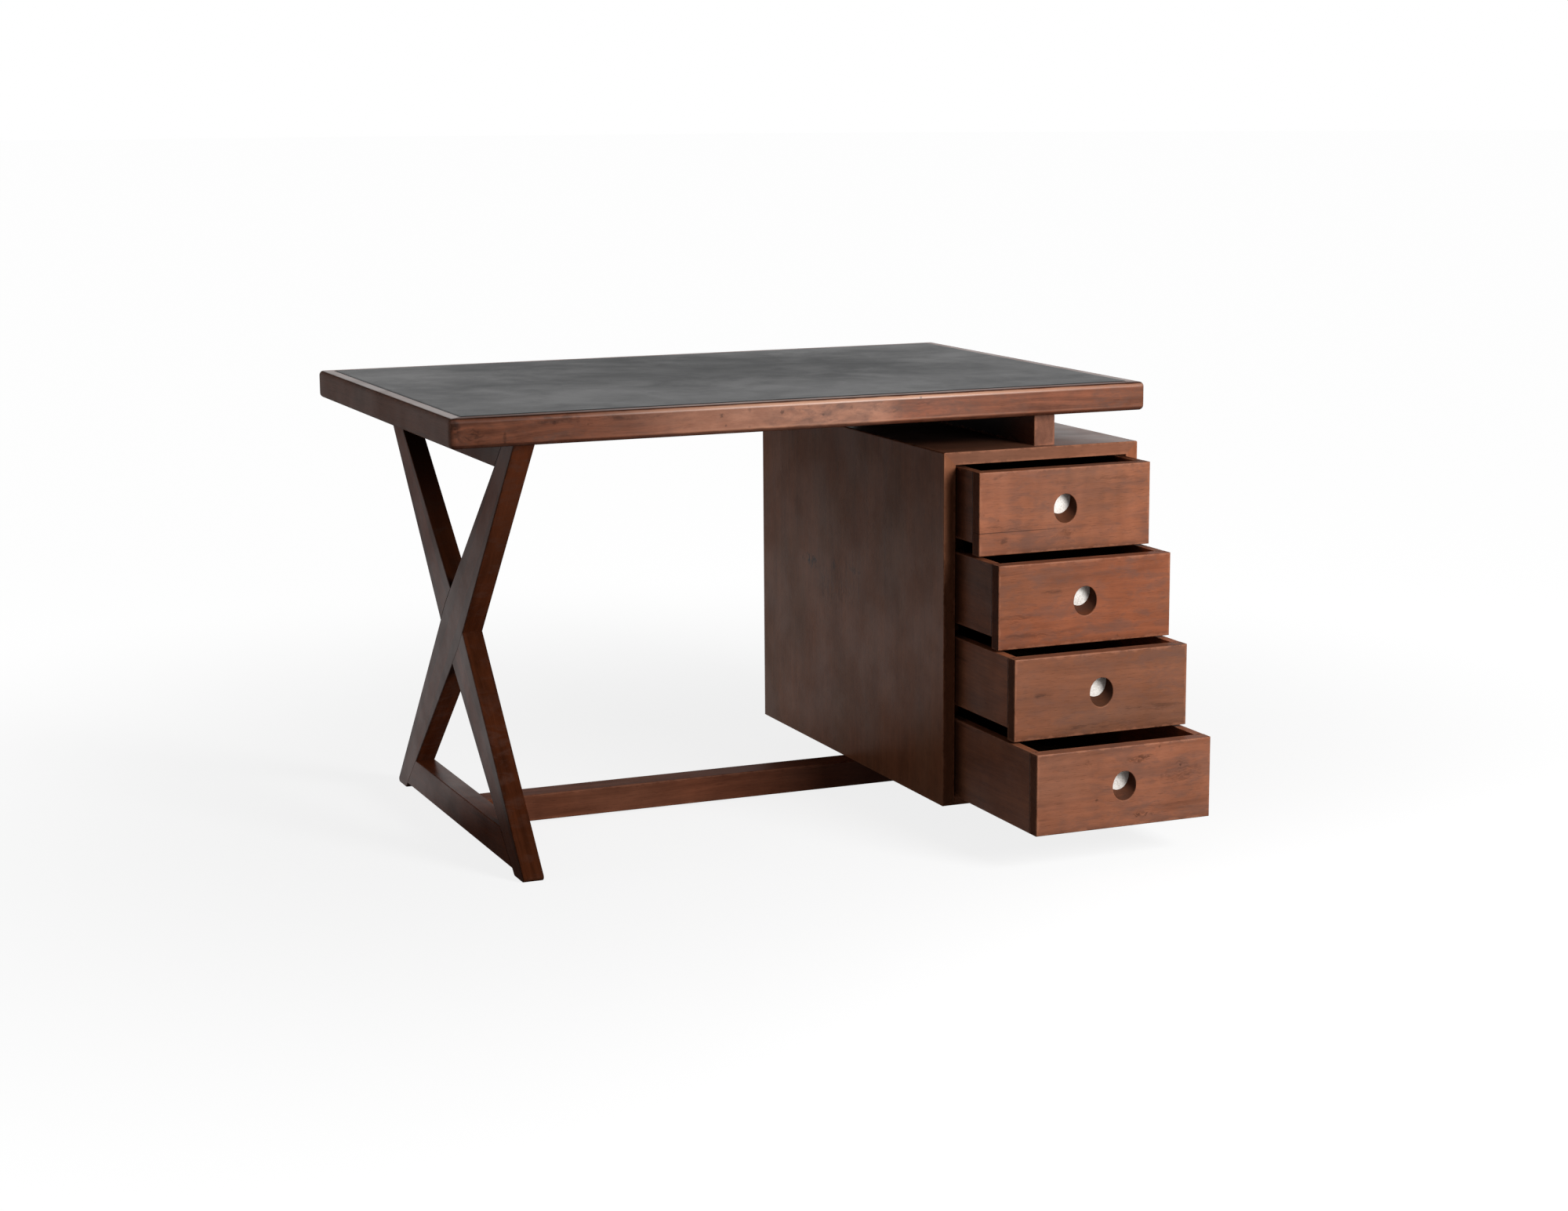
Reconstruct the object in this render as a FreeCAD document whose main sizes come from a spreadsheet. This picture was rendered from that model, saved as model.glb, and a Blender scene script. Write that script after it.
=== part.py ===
import FreeCAD, Part
import math
import os
import Sketcher

# Writing desk: a leather-topped board that stands on a crossed leg frame and on a pedestal of four drawers.
# Millimetres, X along the desk to the right, Y to the back, Z up. The origin is on the floor, at the middle
# of the space that the desk takes up with its drawers pulled out as they stand.

SIZES = {
    # Top
    "desk_height": 764,
    "top_length": 1228,
    "top_depth": 832,
    "lipping_height": 48,
    "lipping_width": 24,
    "lipping_arris": 8,
    "corner_round": 10,
    "inner_arris": 1,
    "leather_thick": 2.2,
    "leather_rise": 1,
    "leather_margin": 1,
    "leather_arris": 0.8,
    "core_tongue_thick": 10,
    "core_tongue_depth": 9,
    # Crossed leg frame
    "frame_inset": 114,
    "frame_thick": 36,
    "frame_arris": 2,
    "foot_inset": 35,
    "foot_length": 55,
    "foot_round": 6,
    "leg_waist": 98,
    "foot_rail_lift": 10,
    "foot_rail_height": 55,
    "top_rail_height": 50,
    "tenon_thick": 11,
    "tenon_length": 26,
    "tenon_shoulder": 11,
    # Base under the pedestal
    "base_height": 52.5,
    "stretcher_height": 46.5,
    "stretcher_width": 50,
    "stretcher_tenon": 20,
    "foot_bar_width": 60,
    "foot_bar_offset": 35,
    "foot_bar_inset": 60,
    # Pedestal
    "pedestal_width": 369,
    "pedestal_setback": 25,
    "pedestal_back_gap": 17,
    "panel_thick": 22,
    "bottom_thick": 16,
    "panel_arris": 1.5,
    "panel_round": 2.5,
    "panel_tongue_thick": 8,
    "panel_tongue_depth": 8,
    "panel_tongue_stop": 30,
    "back_thick": 12,
    "back_rebate": 10,
    "spacer_height": 56,
    "spacer_width": 39,
    "spacer_offset": 15,
    "spacer_setback": 20,
    # Drawers, numbered from the top
    "drawer_open_1": 85,
    "drawer_open_2": 157,
    "drawer_open_3": 216,
    "drawer_open_4": 296,
    "front_thick": 24,
    "front_arris": 2,
    "front_gap": 4.5,
    "top_gap": 2.7,
    "side_clearance": 1.2,
    "running_clearance": 0.3,
    "lip_height": 20,
    "kicker_clearance": 2.2,
    "stop_clearance": 0.5,
    "rear_clearance": 8,
    "runner_width": 18,
    "side_thick": 16,
    "side_arris": 1,
    "side_tongue_thick": 8,
    "side_tongue_depth": 10,
    "drawer_back_thick": 14,
    "drawer_back_inset": 12,
    "drawer_back_drop": 6,
    "dado_depth": 5,
    "drawer_bottom_thick": 6,
    "drawer_bottom_lift": 9,
    "bottom_groove_depth": 6,
    # Finger pulls
    "finger_bore": 43,
    "bore_rise": 14,
    "bore_rim": 1,
    "plate_width": 64,
    "plate_thick": 1.5,
    "plate_corner": 6,
    "plate_screw_inset": 6.5,
    # Screws
    "frame_screw": 6,
    "frame_screw_sink": 18,
    "frame_screw_bite": 22,
    "frame_screw_spread": 300,
    "spacer_screw": 8,
    "spacer_screw_sink": 7,
    "spacer_screw_bite": 24,
    "spacer_screw_spread": 540,
    "foot_screw": 6,
    "foot_screw_sink": 20,
    "foot_screw_bite": 11,
    "foot_screw_spread": 440,
    "runner_screw": 4,
    "runner_screw_sink": 4,
    "runner_screw_bite": 12,
    "plate_screw": 3,
    "plate_screw_bite": 10,
    # Clearances and cuts
    "joint_clearance": 0.1,
    "screw_clearance": 0.1,
    "overrun": 5,
}

HEAD_WIDTH_SHARE = 1.9
HEAD_HEIGHT_SHARE = 0.55
SLOT_WIDTH_SHARE = 0.22
SLOT_DEPTH_SHARE = 0.25
TIP_SHARE = 0.15
RUNNER_SCREW_SHARES = (0.08, 0.5, 0.92)
TOUCH = 1e-4
DRAWERS = ("1", "2", "3", "4")
FRONT_HEIGHT_SHARES = (0.2532, 0.255, 0.2477, 0.2441)
PLATE_HEIGHT_SHARE = 0.563

doc = FreeCAD.newDocument("desk")
sheet = doc.addObject("Spreadsheet::Sheet", "size")
for row, (alias, amount) in enumerate(SIZES.items(), start=1):
    sheet.set(f"A{row}", alias)
    sheet.set(f"B{row}", str(amount))
    sheet.setAlias(f"B{row}", alias)
doc.recompute()
pieces = []


# Helpers

def number(text):
    """The value of an expression on the sheet."""
    return float(sheet.evalExpression(text))


def place(thing, x, y, z):
    """Bind the position of a piece or a feature."""
    for axis, text in zip("xyz", (x, y, z)):
        thing.setExpression(f".Placement.Base.{axis}", text)


def piece(label, x, y, z, turn=0):
    """A new body at its place in the desk, turned about the vertical."""
    body = doc.addObject("PartDesign::Body", label)
    body.Label = label
    body.Placement = FreeCAD.Placement(FreeCAD.Vector(), FreeCAD.Rotation(FreeCAD.Vector(0, 0, 1), turn))
    place(body, x, y, z)
    pieces.append(body)
    return body


def block(body, name, lengths, at=("0", "0", "0"), cut=False):
    """A box with its low corner at a point of the body, added or cut away."""
    box = body.newObject("PartDesign::SubtractiveBox" if cut else "PartDesign::AdditiveBox", name)
    for side, text in zip(("Length", "Width", "Height"), lengths):
        box.setExpression(side, text)
    place(box, *at)
    return box


def drill(body, name, diameter, depth, at, axis, angle):
    """A round hole from a point, along +Z turned about an axis."""
    hole = body.newObject("PartDesign::SubtractiveCylinder", name)
    hole.setExpression("Radius", f"({diameter}) / 2")
    hole.setExpression("Height", depth)
    hole.Placement = FreeCAD.Placement(FreeCAD.Vector(), FreeCAD.Rotation(FreeCAD.Vector(*axis), angle))
    place(hole, *at)
    return hole


def drill_up(body, name, diameter, depth, at):
    return drill(body, name, diameter, depth, at, (0, 0, 1), 0)


def outline(body, name, role, corners):
    """A closed sketch. A corner is (x, y), or (x, y, radius) where an arc leads on to the next corner."""
    sketch = body.newObject("Sketcher::SketchObject", name)
    plane = [feature for feature in body.Origin.OriginFeatures if feature.Role == role][0]
    sketch.AttachmentSupport = [(plane, "")]
    sketch.MapMode = "FlatFace"
    points = [FreeCAD.Vector(number(corner[0]), number(corner[1]), 0) for corner in corners]
    for index, corner in enumerate(corners):
        start = points[index]
        end = points[(index + 1) % len(corners)]
        if len(corner) == 2:
            sketch.addGeometry(Part.LineSegment(start, end), False)
            continue
        radius = number(corner[2])
        chord = end - start
        rise = math.sqrt(radius ** 2 - (chord.Length / 2) ** 2)
        centre = (start + end) / 2 + FreeCAD.Vector(-chord.y, chord.x, 0).normalize() * rise
        angles = [math.atan2(point.y - centre.y, point.x - centre.x) for point in (start, end)]
        circle = Part.Circle(centre, FreeCAD.Vector(0, 0, 1), radius)
        sketch.addGeometry(Part.ArcOfCircle(circle, *angles), False)
    for index in range(len(corners)):
        following = (index + 1) % len(corners)
        sketch.addConstraint(Sketcher.Constraint("Coincident", index, 2, following, 1))
    for index, corner in enumerate(corners):
        bounds = [("DistanceX", (index, 1), points[index].x, corner[0])]
        bounds.append(("DistanceY", (index, 1), points[index].y, corner[1]))
        if len(corner) == 3:
            bounds.append(("Radius", (index,), number(corner[2]), corner[2]))
        for kind, where, amount, text in bounds:
            constraint = sketch.addConstraint(Sketcher.Constraint(kind, *where, amount))
            sketch.setExpression(f"Constraints[{constraint}]", text)
    return sketch


def pad(body, name, role, corners, length, reverse=False):
    """A sketch raised off its plane."""
    raised = body.newObject("PartDesign::Pad", name)
    raised.Profile = outline(body, f"{name}_outline", role, corners)
    raised.setExpression("Length", length)
    raised.Reversed = reverse
    return raised


def ease(body, name, radius, wanted):
    """Round the edges of the body's last feature that a test picks."""
    doc.recompute()
    base = body.Tip
    edges = [f"Edge{index}" for index, edge in enumerate(base.Shape.Edges, start=1) if wanted(edge)]
    rounding = body.newObject("PartDesign::Fillet", name)
    rounding.Base = (base, edges)
    rounding.setExpression("Radius", radius)
    return rounding


def lies_at(edge, axis, text):
    """Whether all of an edge has one coordinate."""
    points = [vertex.Point for vertex in edge.Vertexes]
    points.append(edge.valueAt((edge.FirstParameter + edge.LastParameter) / 2))
    return all(abs(getattr(point, axis) - number(text)) < TOUCH for point in points)


def is_curved(edge):
    return not isinstance(edge.Curve, (Part.Line, Part.LineSegment))


def runs_along(edge, axis):
    """Whether an edge is straight along an axis."""
    if is_curved(edge):
        return False
    start, end = (vertex.Point for vertex in edge.Vertexes)
    across = [name for name in "xyz" if name != axis]
    return all(abs(getattr(start, name) - getattr(end, name)) < TOUCH for name in across)


def screws(label, diameter, length, places):
    """A group of slotted screws, each seated at a point and driven along a direction."""
    wide = number(diameter)
    long = number(length)
    head_height = wide * HEAD_HEIGHT_SHARE
    head_radius = wide * HEAD_WIDTH_SHARE / 2
    slot_depth = wide * SLOT_DEPTH_SHARE
    slot_width = wide * SLOT_WIDTH_SHARE
    head = Part.makeCylinder(head_radius, head_height, FreeCAD.Vector(0, 0, -head_height))
    slot_corner = FreeCAD.Vector(-head_radius, -slot_width / 2, -head_height)
    head = head.cut(Part.makeBox(2 * head_radius, slot_width, slot_depth, slot_corner))
    shank = Part.makeCylinder(wide / 2, long - wide)
    tip = Part.makeCone(wide / 2, wide * TIP_SHARE / 2, wide, FreeCAD.Vector(0, 0, long - wide))
    screw = head.fuse([shank, tip]).removeSplitter()
    group = doc.addObject("Part::Feature", label)
    group.Label = label
    copies = []
    for point, direction in places:
        copy = screw.copy()
        seat = FreeCAD.Vector(*(number(text) for text in point))
        copy.Placement = FreeCAD.Placement(seat, FreeCAD.Rotation(FreeCAD.Vector(0, 0, 1), direction))
        copies.append(copy)
    group.Shape = Part.makeCompound(copies)
    group.Placement = FreeCAD.Placement()
    pieces.append(group)


def hole_for(diameter):
    return f"({diameter} + 2 * size.screw_clearance)"


def sink_for(diameter):
    return f"({diameter} * {HEAD_WIDTH_SHARE} + 2 * size.screw_clearance)"


def sunk_hole(body, name, diameter, sink, through, at):
    """A screw hole up through a board, wider below for the head."""
    drill_up(body, f"{name}_sink", sink_for(diameter), sink, at)
    drill_up(body, f"{name}_hole", hole_for(diameter), f"{through} + size.overrun", at)


# Places worked out from the sizes

FIT = "size.joint_clearance"
REACH = "max(" + "; ".join(f"size.drawer_open_{n}" for n in DRAWERS) + ")"
FRONT = f"(({REACH} - size.pedestal_setback - size.top_depth) / 2)"
BACK = f"({FRONT} + size.top_depth)"
LEFT = "(-size.top_length / 2)"
RIGHT = "(size.top_length / 2)"
MIDDLE = f"({FRONT} + size.top_depth / 2)"

UNDERSIDE = "(size.desk_height - size.lipping_height)"
PEDESTAL_TOP = f"({UNDERSIDE} - size.spacer_height)"
PEDESTAL_HEIGHT = f"({PEDESTAL_TOP} - size.base_height)"
PEDESTAL_DEPTH = "(size.top_depth - size.pedestal_setback - size.pedestal_back_gap)"
PEDESTAL_X = f"({RIGHT} - size.pedestal_width)"
PEDESTAL_Y = f"({FRONT} + size.pedestal_setback)"
OPENING_HEIGHT = f"({PEDESTAL_HEIGHT} - size.panel_thick - size.bottom_thick)"
FRONT_GAPS = f"(size.running_clearance + {len(DRAWERS) - 1} * size.front_gap + size.top_gap)"


def front_height(n):
    """A drawer front's share of the pedestal's opening, less the gaps."""
    share = FRONT_HEIGHT_SHARES[DRAWERS.index(n)]
    return f"({share} * ({OPENING_HEIGHT} - {FRONT_GAPS}))"


def front_low(n):
    """The height of a drawer front's lower edge: the fronts stack up from the pedestal's bottom."""
    low = "size.base_height + size.bottom_thick + size.running_clearance"
    for below in DRAWERS[DRAWERS.index(n) + 1:]:
        low += f" + {front_height(below)} + size.front_gap"
    return f"({low})"


# Share of a rounded corner's radius that the mitre line gains on the square corner
MITRE_SHARE = 1 - math.sqrt(0.5)


# Top: core board, mitred edge band and leather

CORE_THICK = "(size.lipping_height + size.leather_rise - size.leather_thick)"
CORE_LENGTH = "(size.top_length - 2 * size.lipping_width)"
CORE_DEPTH = "(size.top_depth - 2 * size.lipping_width)"
FRAME_X = f"({LEFT} + size.frame_inset)"
FRAME_SCREW_X = f"({FRAME_X} + size.frame_thick / 2)"
FRAME_SCREW_YS = [f"({MIDDLE} {sign} size.frame_screw_spread / 2)" for sign in "-+"]
SPACER_X = f"({PEDESTAL_X} + (size.pedestal_width - size.spacer_width) / 2 + size.spacer_offset)"
SPACER_MIDDLE_X = f"({SPACER_X} + size.spacer_width / 2)"
SPACER_MIDDLE_Y = f"({PEDESTAL_Y} + {PEDESTAL_DEPTH} / 2)"
SPACER_SCREW_YS = [f"({SPACER_MIDDLE_Y} + {step} * size.spacer_screw_spread / 2)" for step in (-1, 0, 1)]


def make_core():
    origin_x = f"({LEFT} + size.lipping_width)"
    origin_y = f"({FRONT} + size.lipping_width)"
    body = piece("top_core", origin_x, origin_y, UNDERSIDE)
    block(body, "board", (CORE_LENGTH, CORE_DEPTH, CORE_THICK))
    tongue = [f"{side} + 2 * size.core_tongue_depth" for side in (CORE_LENGTH, CORE_DEPTH)]
    low = f"({CORE_THICK} - size.core_tongue_thick) / 2"
    corner = ("-size.core_tongue_depth", "-size.core_tongue_depth", low)
    block(body, "tongue", (*tongue, "size.core_tongue_thick"), corner)
    for index, y in enumerate(FRAME_SCREW_YS):
        depth = f"size.frame_screw_bite + {FIT}"
        at = (f"{FRAME_SCREW_X} - {origin_x}", f"{y} - {origin_y}", "0")
        drill_up(body, f"frame_hole_{index}", hole_for("size.frame_screw"), depth, at)
    for index, y in enumerate(SPACER_SCREW_YS):
        depth = f"size.spacer_screw_bite + {FIT}"
        at = (f"{SPACER_MIDDLE_X} - {origin_x}", f"{y} - {origin_y}", "0")
        drill_up(body, f"spacer_hole_{index}", hole_for("size.spacer_screw"), depth, at)


def make_lipping(label, length, x, y, turn):
    """One length of the edge band, seen from its outer side, with its groove for the core's tongue."""
    body = piece(label, x, y, UNDERSIDE, turn)
    bend = f"size.corner_round * {MITRE_SHARE}"
    corners = [
        (bend, bend, "size.corner_round"),
        ("size.corner_round", "0"),
        (f"{length} - size.corner_round", "0", "size.corner_round"),
        (f"{length} - {bend}", bend),
        (f"{length} - size.lipping_width", "size.lipping_width"),
        ("size.lipping_width", "size.lipping_width"),
    ]
    pad(body, "band", "XY_Plane", corners, "size.lipping_height")

    def outer(edge):
        level = lies_at(edge, "z", "0") or lies_at(edge, "z", "size.lipping_height")
        return level and (is_curved(edge) or lies_at(edge, "y", "0"))

    def inner(edge):
        return lies_at(edge, "z", "size.lipping_height") and lies_at(edge, "y", "size.lipping_width")

    ease(body, "outer_arris", "size.lipping_arris", outer)
    ease(body, "inner_arris", "size.inner_arris", inner)
    groove = (length, f"size.core_tongue_depth + {FIT}", f"size.core_tongue_thick + 2 * {FIT}")
    low = f"({CORE_THICK} - size.core_tongue_thick) / 2 - {FIT}"
    corner = ("0", f"size.lipping_width - size.core_tongue_depth - {FIT}", low)
    block(body, "groove", groove, corner, cut=True)


def make_leather():
    margin = "(size.lipping_width + size.leather_margin)"
    body = piece("leather_inlay", f"{LEFT} + {margin}", f"{FRONT} + {margin}", f"{UNDERSIDE} + {CORE_THICK}")
    sides = (f"size.top_length - 2 * {margin}", f"size.top_depth - 2 * {margin}", "size.leather_thick")
    block(body, "hide", sides)
    ease(body, "soft_edge", "size.leather_arris", lambda edge: lies_at(edge, "z", "size.leather_thick"))


make_core()
make_lipping("top_front_lipping", "size.top_length", LEFT, FRONT, 0)
make_lipping("top_right_lipping", "size.top_depth", RIGHT, FRONT, 90)
make_lipping("top_back_lipping", "size.top_length", RIGHT, BACK, 180)
make_lipping("top_left_lipping", "size.top_depth", LEFT, BACK, 270)
make_leather()


# Crossed leg frame: two tapered legs half-lapped at the middle, with a rail at the foot and at the top

HALF_HEIGHT = f"({UNDERSIDE} / 2)"
SPAN = "(size.top_depth / 2 - size.foot_inset)"
INNER_SPAN = f"({SPAN} - size.foot_length)"
AXIS_SPAN = f"({SPAN} - size.foot_length / 2)"
AXIS_LENGTH = f"sqrt({AXIS_SPAN} ^ 2 + {HALF_HEIGHT} ^ 2)"
WAIST_Y = f"(size.leg_waist / 2 * {HALF_HEIGHT} / {AXIS_LENGTH})"
WAIST_Z = f"(size.leg_waist / 2 * {AXIS_SPAN} / {AXIS_LENGTH})"
TENON_X = "(size.frame_thick - size.tenon_thick) / 2"
TOP_RAIL_LOW = f"({UNDERSIDE} - size.top_rail_height)"
STRETCHER_Z = "(size.base_height - size.stretcher_height)"
STRETCHER_TENON_WIDTH = "(size.stretcher_width - 2 * size.tenon_shoulder)"
STRETCHER_TENON_HEIGHT = "(size.stretcher_height - 2 * size.tenon_shoulder)"
OTHER_SIDE = {"+": "-", "-": "+"}


def leg_gap(distance):
    """Half the gap between the legs, at a distance from the floor or from the top."""
    return f"({INNER_SPAN} - ({INNER_SPAN} + {WAIST_Y}) * ({distance}) / ({HALF_HEIGHT} - {WAIST_Z}))"


def leg_corners(side):
    """A leg that stands at the rear (side +) or at the front (side -), with its waist at the crossing."""
    other = OTHER_SIDE[side]
    return [
        (f"{other}{SPAN}", UNDERSIDE),
        (f"{other}{INNER_SPAN}", UNDERSIDE),
        (f"{side}{WAIST_Y}", f"{HALF_HEIGHT} + {WAIST_Z}"),
        (f"{side}{SPAN}", "0"),
        (f"{side}{INNER_SPAN}", "0"),
        (f"{other}{WAIST_Y}", f"{HALF_HEIGHT} - {WAIST_Z}"),
    ]


def tenon_through(body, name, height, low, middle, slack, cut):
    """The bar from tenon end to tenon end of a rail, or the room for it in a leg."""
    reach = f"({leg_gap(middle)} + size.tenon_length + {slack})"
    lengths = [f"size.tenon_thick + 2 * {slack}", f"2 * {reach}"]
    lengths.append(f"{height} - 2 * size.tenon_shoulder + 2 * {slack}")
    corner = (f"{TENON_X} - {slack}", f"-{reach}", f"{low} + size.tenon_shoulder - {slack}")
    block(body, name, lengths, corner, cut)


def foot_tenons(body, name, slack, cut):
    middle = "(size.foot_rail_lift + size.foot_rail_height / 2)"
    tenon_through(body, name, "size.foot_rail_height", "size.foot_rail_lift", middle, slack, cut)


def top_tenons(body, name, slack, cut):
    tenon_through(body, name, "size.top_rail_height", TOP_RAIL_LOW, "size.top_rail_height / 2", slack, cut)


def stretcher_mortise(body, x, middle):
    """The room for a tenon of the stretcher, centred on a line across the face."""
    lengths = [f"size.stretcher_tenon + {FIT}"]
    lengths.append(f"{STRETCHER_TENON_WIDTH} + 2 * {FIT}")
    lengths.append(f"{STRETCHER_TENON_HEIGHT} + 2 * {FIT}")
    low = f"{STRETCHER_Z} + size.tenon_shoulder - {FIT}"
    corner = (x, f"{middle} - {STRETCHER_TENON_WIDTH} / 2 - {FIT}", low)
    block(body, "stretcher_mortise", lengths, corner, cut=True)


def make_leg(label, side, lap_low):
    """A leg, with half its thickness cut away where the other leg crosses it."""
    body = piece(label, FRAME_X, MIDDLE, "0")
    pad(body, "leg", "YZ_Plane", leg_corners(side), "size.frame_thick")

    def long_edge(edge):
        on_face = lies_at(edge, "x", "0") or lies_at(edge, "x", "size.frame_thick")
        return on_face and not runs_along(edge, "y")

    ease(body, "foot", "size.foot_round", lambda edge: lies_at(edge, "z", "0") and runs_along(edge, "x"))
    ease(body, "arris", "size.frame_arris", long_edge)
    lap = body.newObject("PartDesign::Pocket", "half_lap")
    lap.Profile = outline(body, "lap_outline", "YZ_Plane", leg_corners(OTHER_SIDE[side]))
    lap.Profile[0].setExpression(".AttachmentOffset.Base.z", lap_low)
    lap.setExpression("Length", "size.frame_thick / 2")
    lap.Reversed = True
    foot_tenons(body, "foot_mortise", FIT, True)
    top_tenons(body, "top_mortise", FIT, True)


def rail_corners(low, high, low_gap, high_gap):
    return [(f"-{low_gap}", low), (low_gap, low), (high_gap, high), (f"-{high_gap}", high)]


def make_foot_rail():
    body = piece("cross_frame_foot_rail", FRAME_X, MIDDLE, "0")
    high = "(size.foot_rail_lift + size.foot_rail_height)"
    corners = rail_corners("size.foot_rail_lift", high, leg_gap("size.foot_rail_lift"), leg_gap(high))
    pad(body, "rail", "YZ_Plane", corners, "size.frame_thick")
    ease(body, "arris", "size.frame_arris", lambda edge: runs_along(edge, "y"))
    foot_tenons(body, "tenons", "0", False)
    stretcher_mortise(body, f"size.frame_thick - size.stretcher_tenon - {FIT}", "0")


def make_top_rail():
    body = piece("cross_frame_top_rail", FRAME_X, MIDDLE, "0")
    corners = rail_corners(TOP_RAIL_LOW, UNDERSIDE, leg_gap("size.top_rail_height"), INNER_SPAN)
    pad(body, "rail", "YZ_Plane", corners, "size.frame_thick")

    def lower_edge(edge):
        return runs_along(edge, "y") and lies_at(edge, "z", TOP_RAIL_LOW)

    ease(body, "arris", "size.frame_arris", lower_edge)
    top_tenons(body, "tenons", "0", False)
    for index, y in enumerate(FRAME_SCREW_YS):
        at = ("size.frame_thick / 2", f"{y} - {MIDDLE}", TOP_RAIL_LOW)
        through = "size.top_rail_height"
        sunk_hole(body, f"screw_{index}", "size.frame_screw", "size.frame_screw_sink", through, at)


make_leg("cross_leg_rear_foot", "+", "size.frame_thick / 2")
make_leg("cross_leg_front_foot", "-", "0")
make_foot_rail()
make_top_rail()
FRAME_SCREW_SEAT = f"({TOP_RAIL_LOW} + size.frame_screw_sink)"
FRAME_SCREW_LENGTH = "size.top_rail_height - size.frame_screw_sink + size.frame_screw_bite"
UP = FreeCAD.Vector(0, 0, 1)
frame_places = [((FRAME_SCREW_X, y, FRAME_SCREW_SEAT), UP) for y in FRAME_SCREW_YS]
screws("cross_frame_screws", "size.frame_screw", FRAME_SCREW_LENGTH, frame_places)


# Base: stretcher from the foot rail to the bar that the pedestal stands on

STRETCHER_X = f"({FRAME_X} + size.frame_thick)"
FOOT_BAR_X = f"({PEDESTAL_X} + (size.pedestal_width - size.foot_bar_width) / 2 + size.foot_bar_offset)"
FOOT_BAR_Y = f"({PEDESTAL_Y} + size.foot_bar_inset)"
FOOT_BAR_LENGTH = f"({PEDESTAL_DEPTH} - 2 * size.foot_bar_inset)"
FOOT_BAR_MIDDLE_X = f"({FOOT_BAR_X} + size.foot_bar_width / 2)"
FOOT_SCREW_YS = [f"({FOOT_BAR_Y} + {FOOT_BAR_LENGTH} / 2 {sign} size.foot_screw_spread / 2)" for sign in "-+"]


def make_stretcher():
    body = piece("stretcher", STRETCHER_X, f"{MIDDLE} - size.stretcher_width / 2", STRETCHER_Z)
    length = f"({FOOT_BAR_X} - {STRETCHER_X})"
    block(body, "bar", (length, "size.stretcher_width", "size.stretcher_height"))
    ease(body, "arris", "size.frame_arris", lambda edge: runs_along(edge, "x"))
    lengths = (f"{length} + 2 * size.stretcher_tenon", STRETCHER_TENON_WIDTH, STRETCHER_TENON_HEIGHT)
    block(body, "tenons", lengths, ("-size.stretcher_tenon", "size.tenon_shoulder", "size.tenon_shoulder"))


def make_foot_bar():
    body = piece("pedestal_foot", FOOT_BAR_X, FOOT_BAR_Y, "0")
    block(body, "bar", ("size.foot_bar_width", FOOT_BAR_LENGTH, "size.base_height"))
    ease(body, "arris", "size.frame_arris", lambda edge: not lies_at(edge, "z", "size.base_height"))
    stretcher_mortise(body, "0", f"{MIDDLE} - {FOOT_BAR_Y}")
    for index, y in enumerate(FOOT_SCREW_YS):
        at = ("size.foot_bar_width / 2", f"{y} - {FOOT_BAR_Y}", "0")
        sunk_hole(body, f"screw_{index}", "size.foot_screw", "size.foot_screw_sink", "size.base_height", at)


make_stretcher()
make_foot_bar()
FOOT_SCREW_LENGTH = "size.base_height - size.foot_screw_sink + size.foot_screw_bite"
foot_places = [((FOOT_BAR_MIDDLE_X, y, "size.foot_screw_sink"), UP) for y in FOOT_SCREW_YS]
screws("pedestal_foot_screws", "size.foot_screw", FOOT_SCREW_LENGTH, foot_places)


# Pedestal: sides and top mitred together, bottom tongued in, back in a rebate

INNER_HEIGHT = f"({PEDESTAL_HEIGHT} - size.panel_thick)"
INNER_WIDTH = "(size.pedestal_width - 2 * size.panel_thick)"
BACK_FACE = f"({PEDESTAL_DEPTH} - size.back_thick)"
PANEL_BEND = f"size.panel_round * {MITRE_SHARE}"
RUNNER_HEIGHT = "(size.lip_height - size.running_clearance - size.kicker_clearance)"
RUNNER_Y = f"({PEDESTAL_Y} + size.front_thick + size.stop_clearance)"
RUNNER_LENGTH = f"({BACK_FACE} - size.front_thick - size.stop_clearance)"
RUNNER_SCREW_YS = [f"({RUNNER_Y} + {share} * {RUNNER_LENGTH})" for share in RUNNER_SCREW_SHARES]
RUNNER_SEAT = "(size.runner_width - size.runner_screw_sink)"
INNER_LEFT = f"({PEDESTAL_X} + size.panel_thick)"
INNER_RIGHT = f"({RIGHT} - size.panel_thick)"


def runner_low(n):
    return f"({front_low(n)} + size.kicker_clearance)"


def front_arris(body):
    """Ease the front edges of a panel, apart from the mitre."""
    def wanted(edge):
        start, end = (vertex.Point for vertex in edge.Vertexes)
        slanted = abs(start.x - end.x) > TOUCH and abs(start.z - end.z) > TOUCH
        return lies_at(edge, "y", "0") and (is_curved(edge) or not slanted)

    ease(body, "front_arris", "size.panel_arris", wanted)


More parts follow.
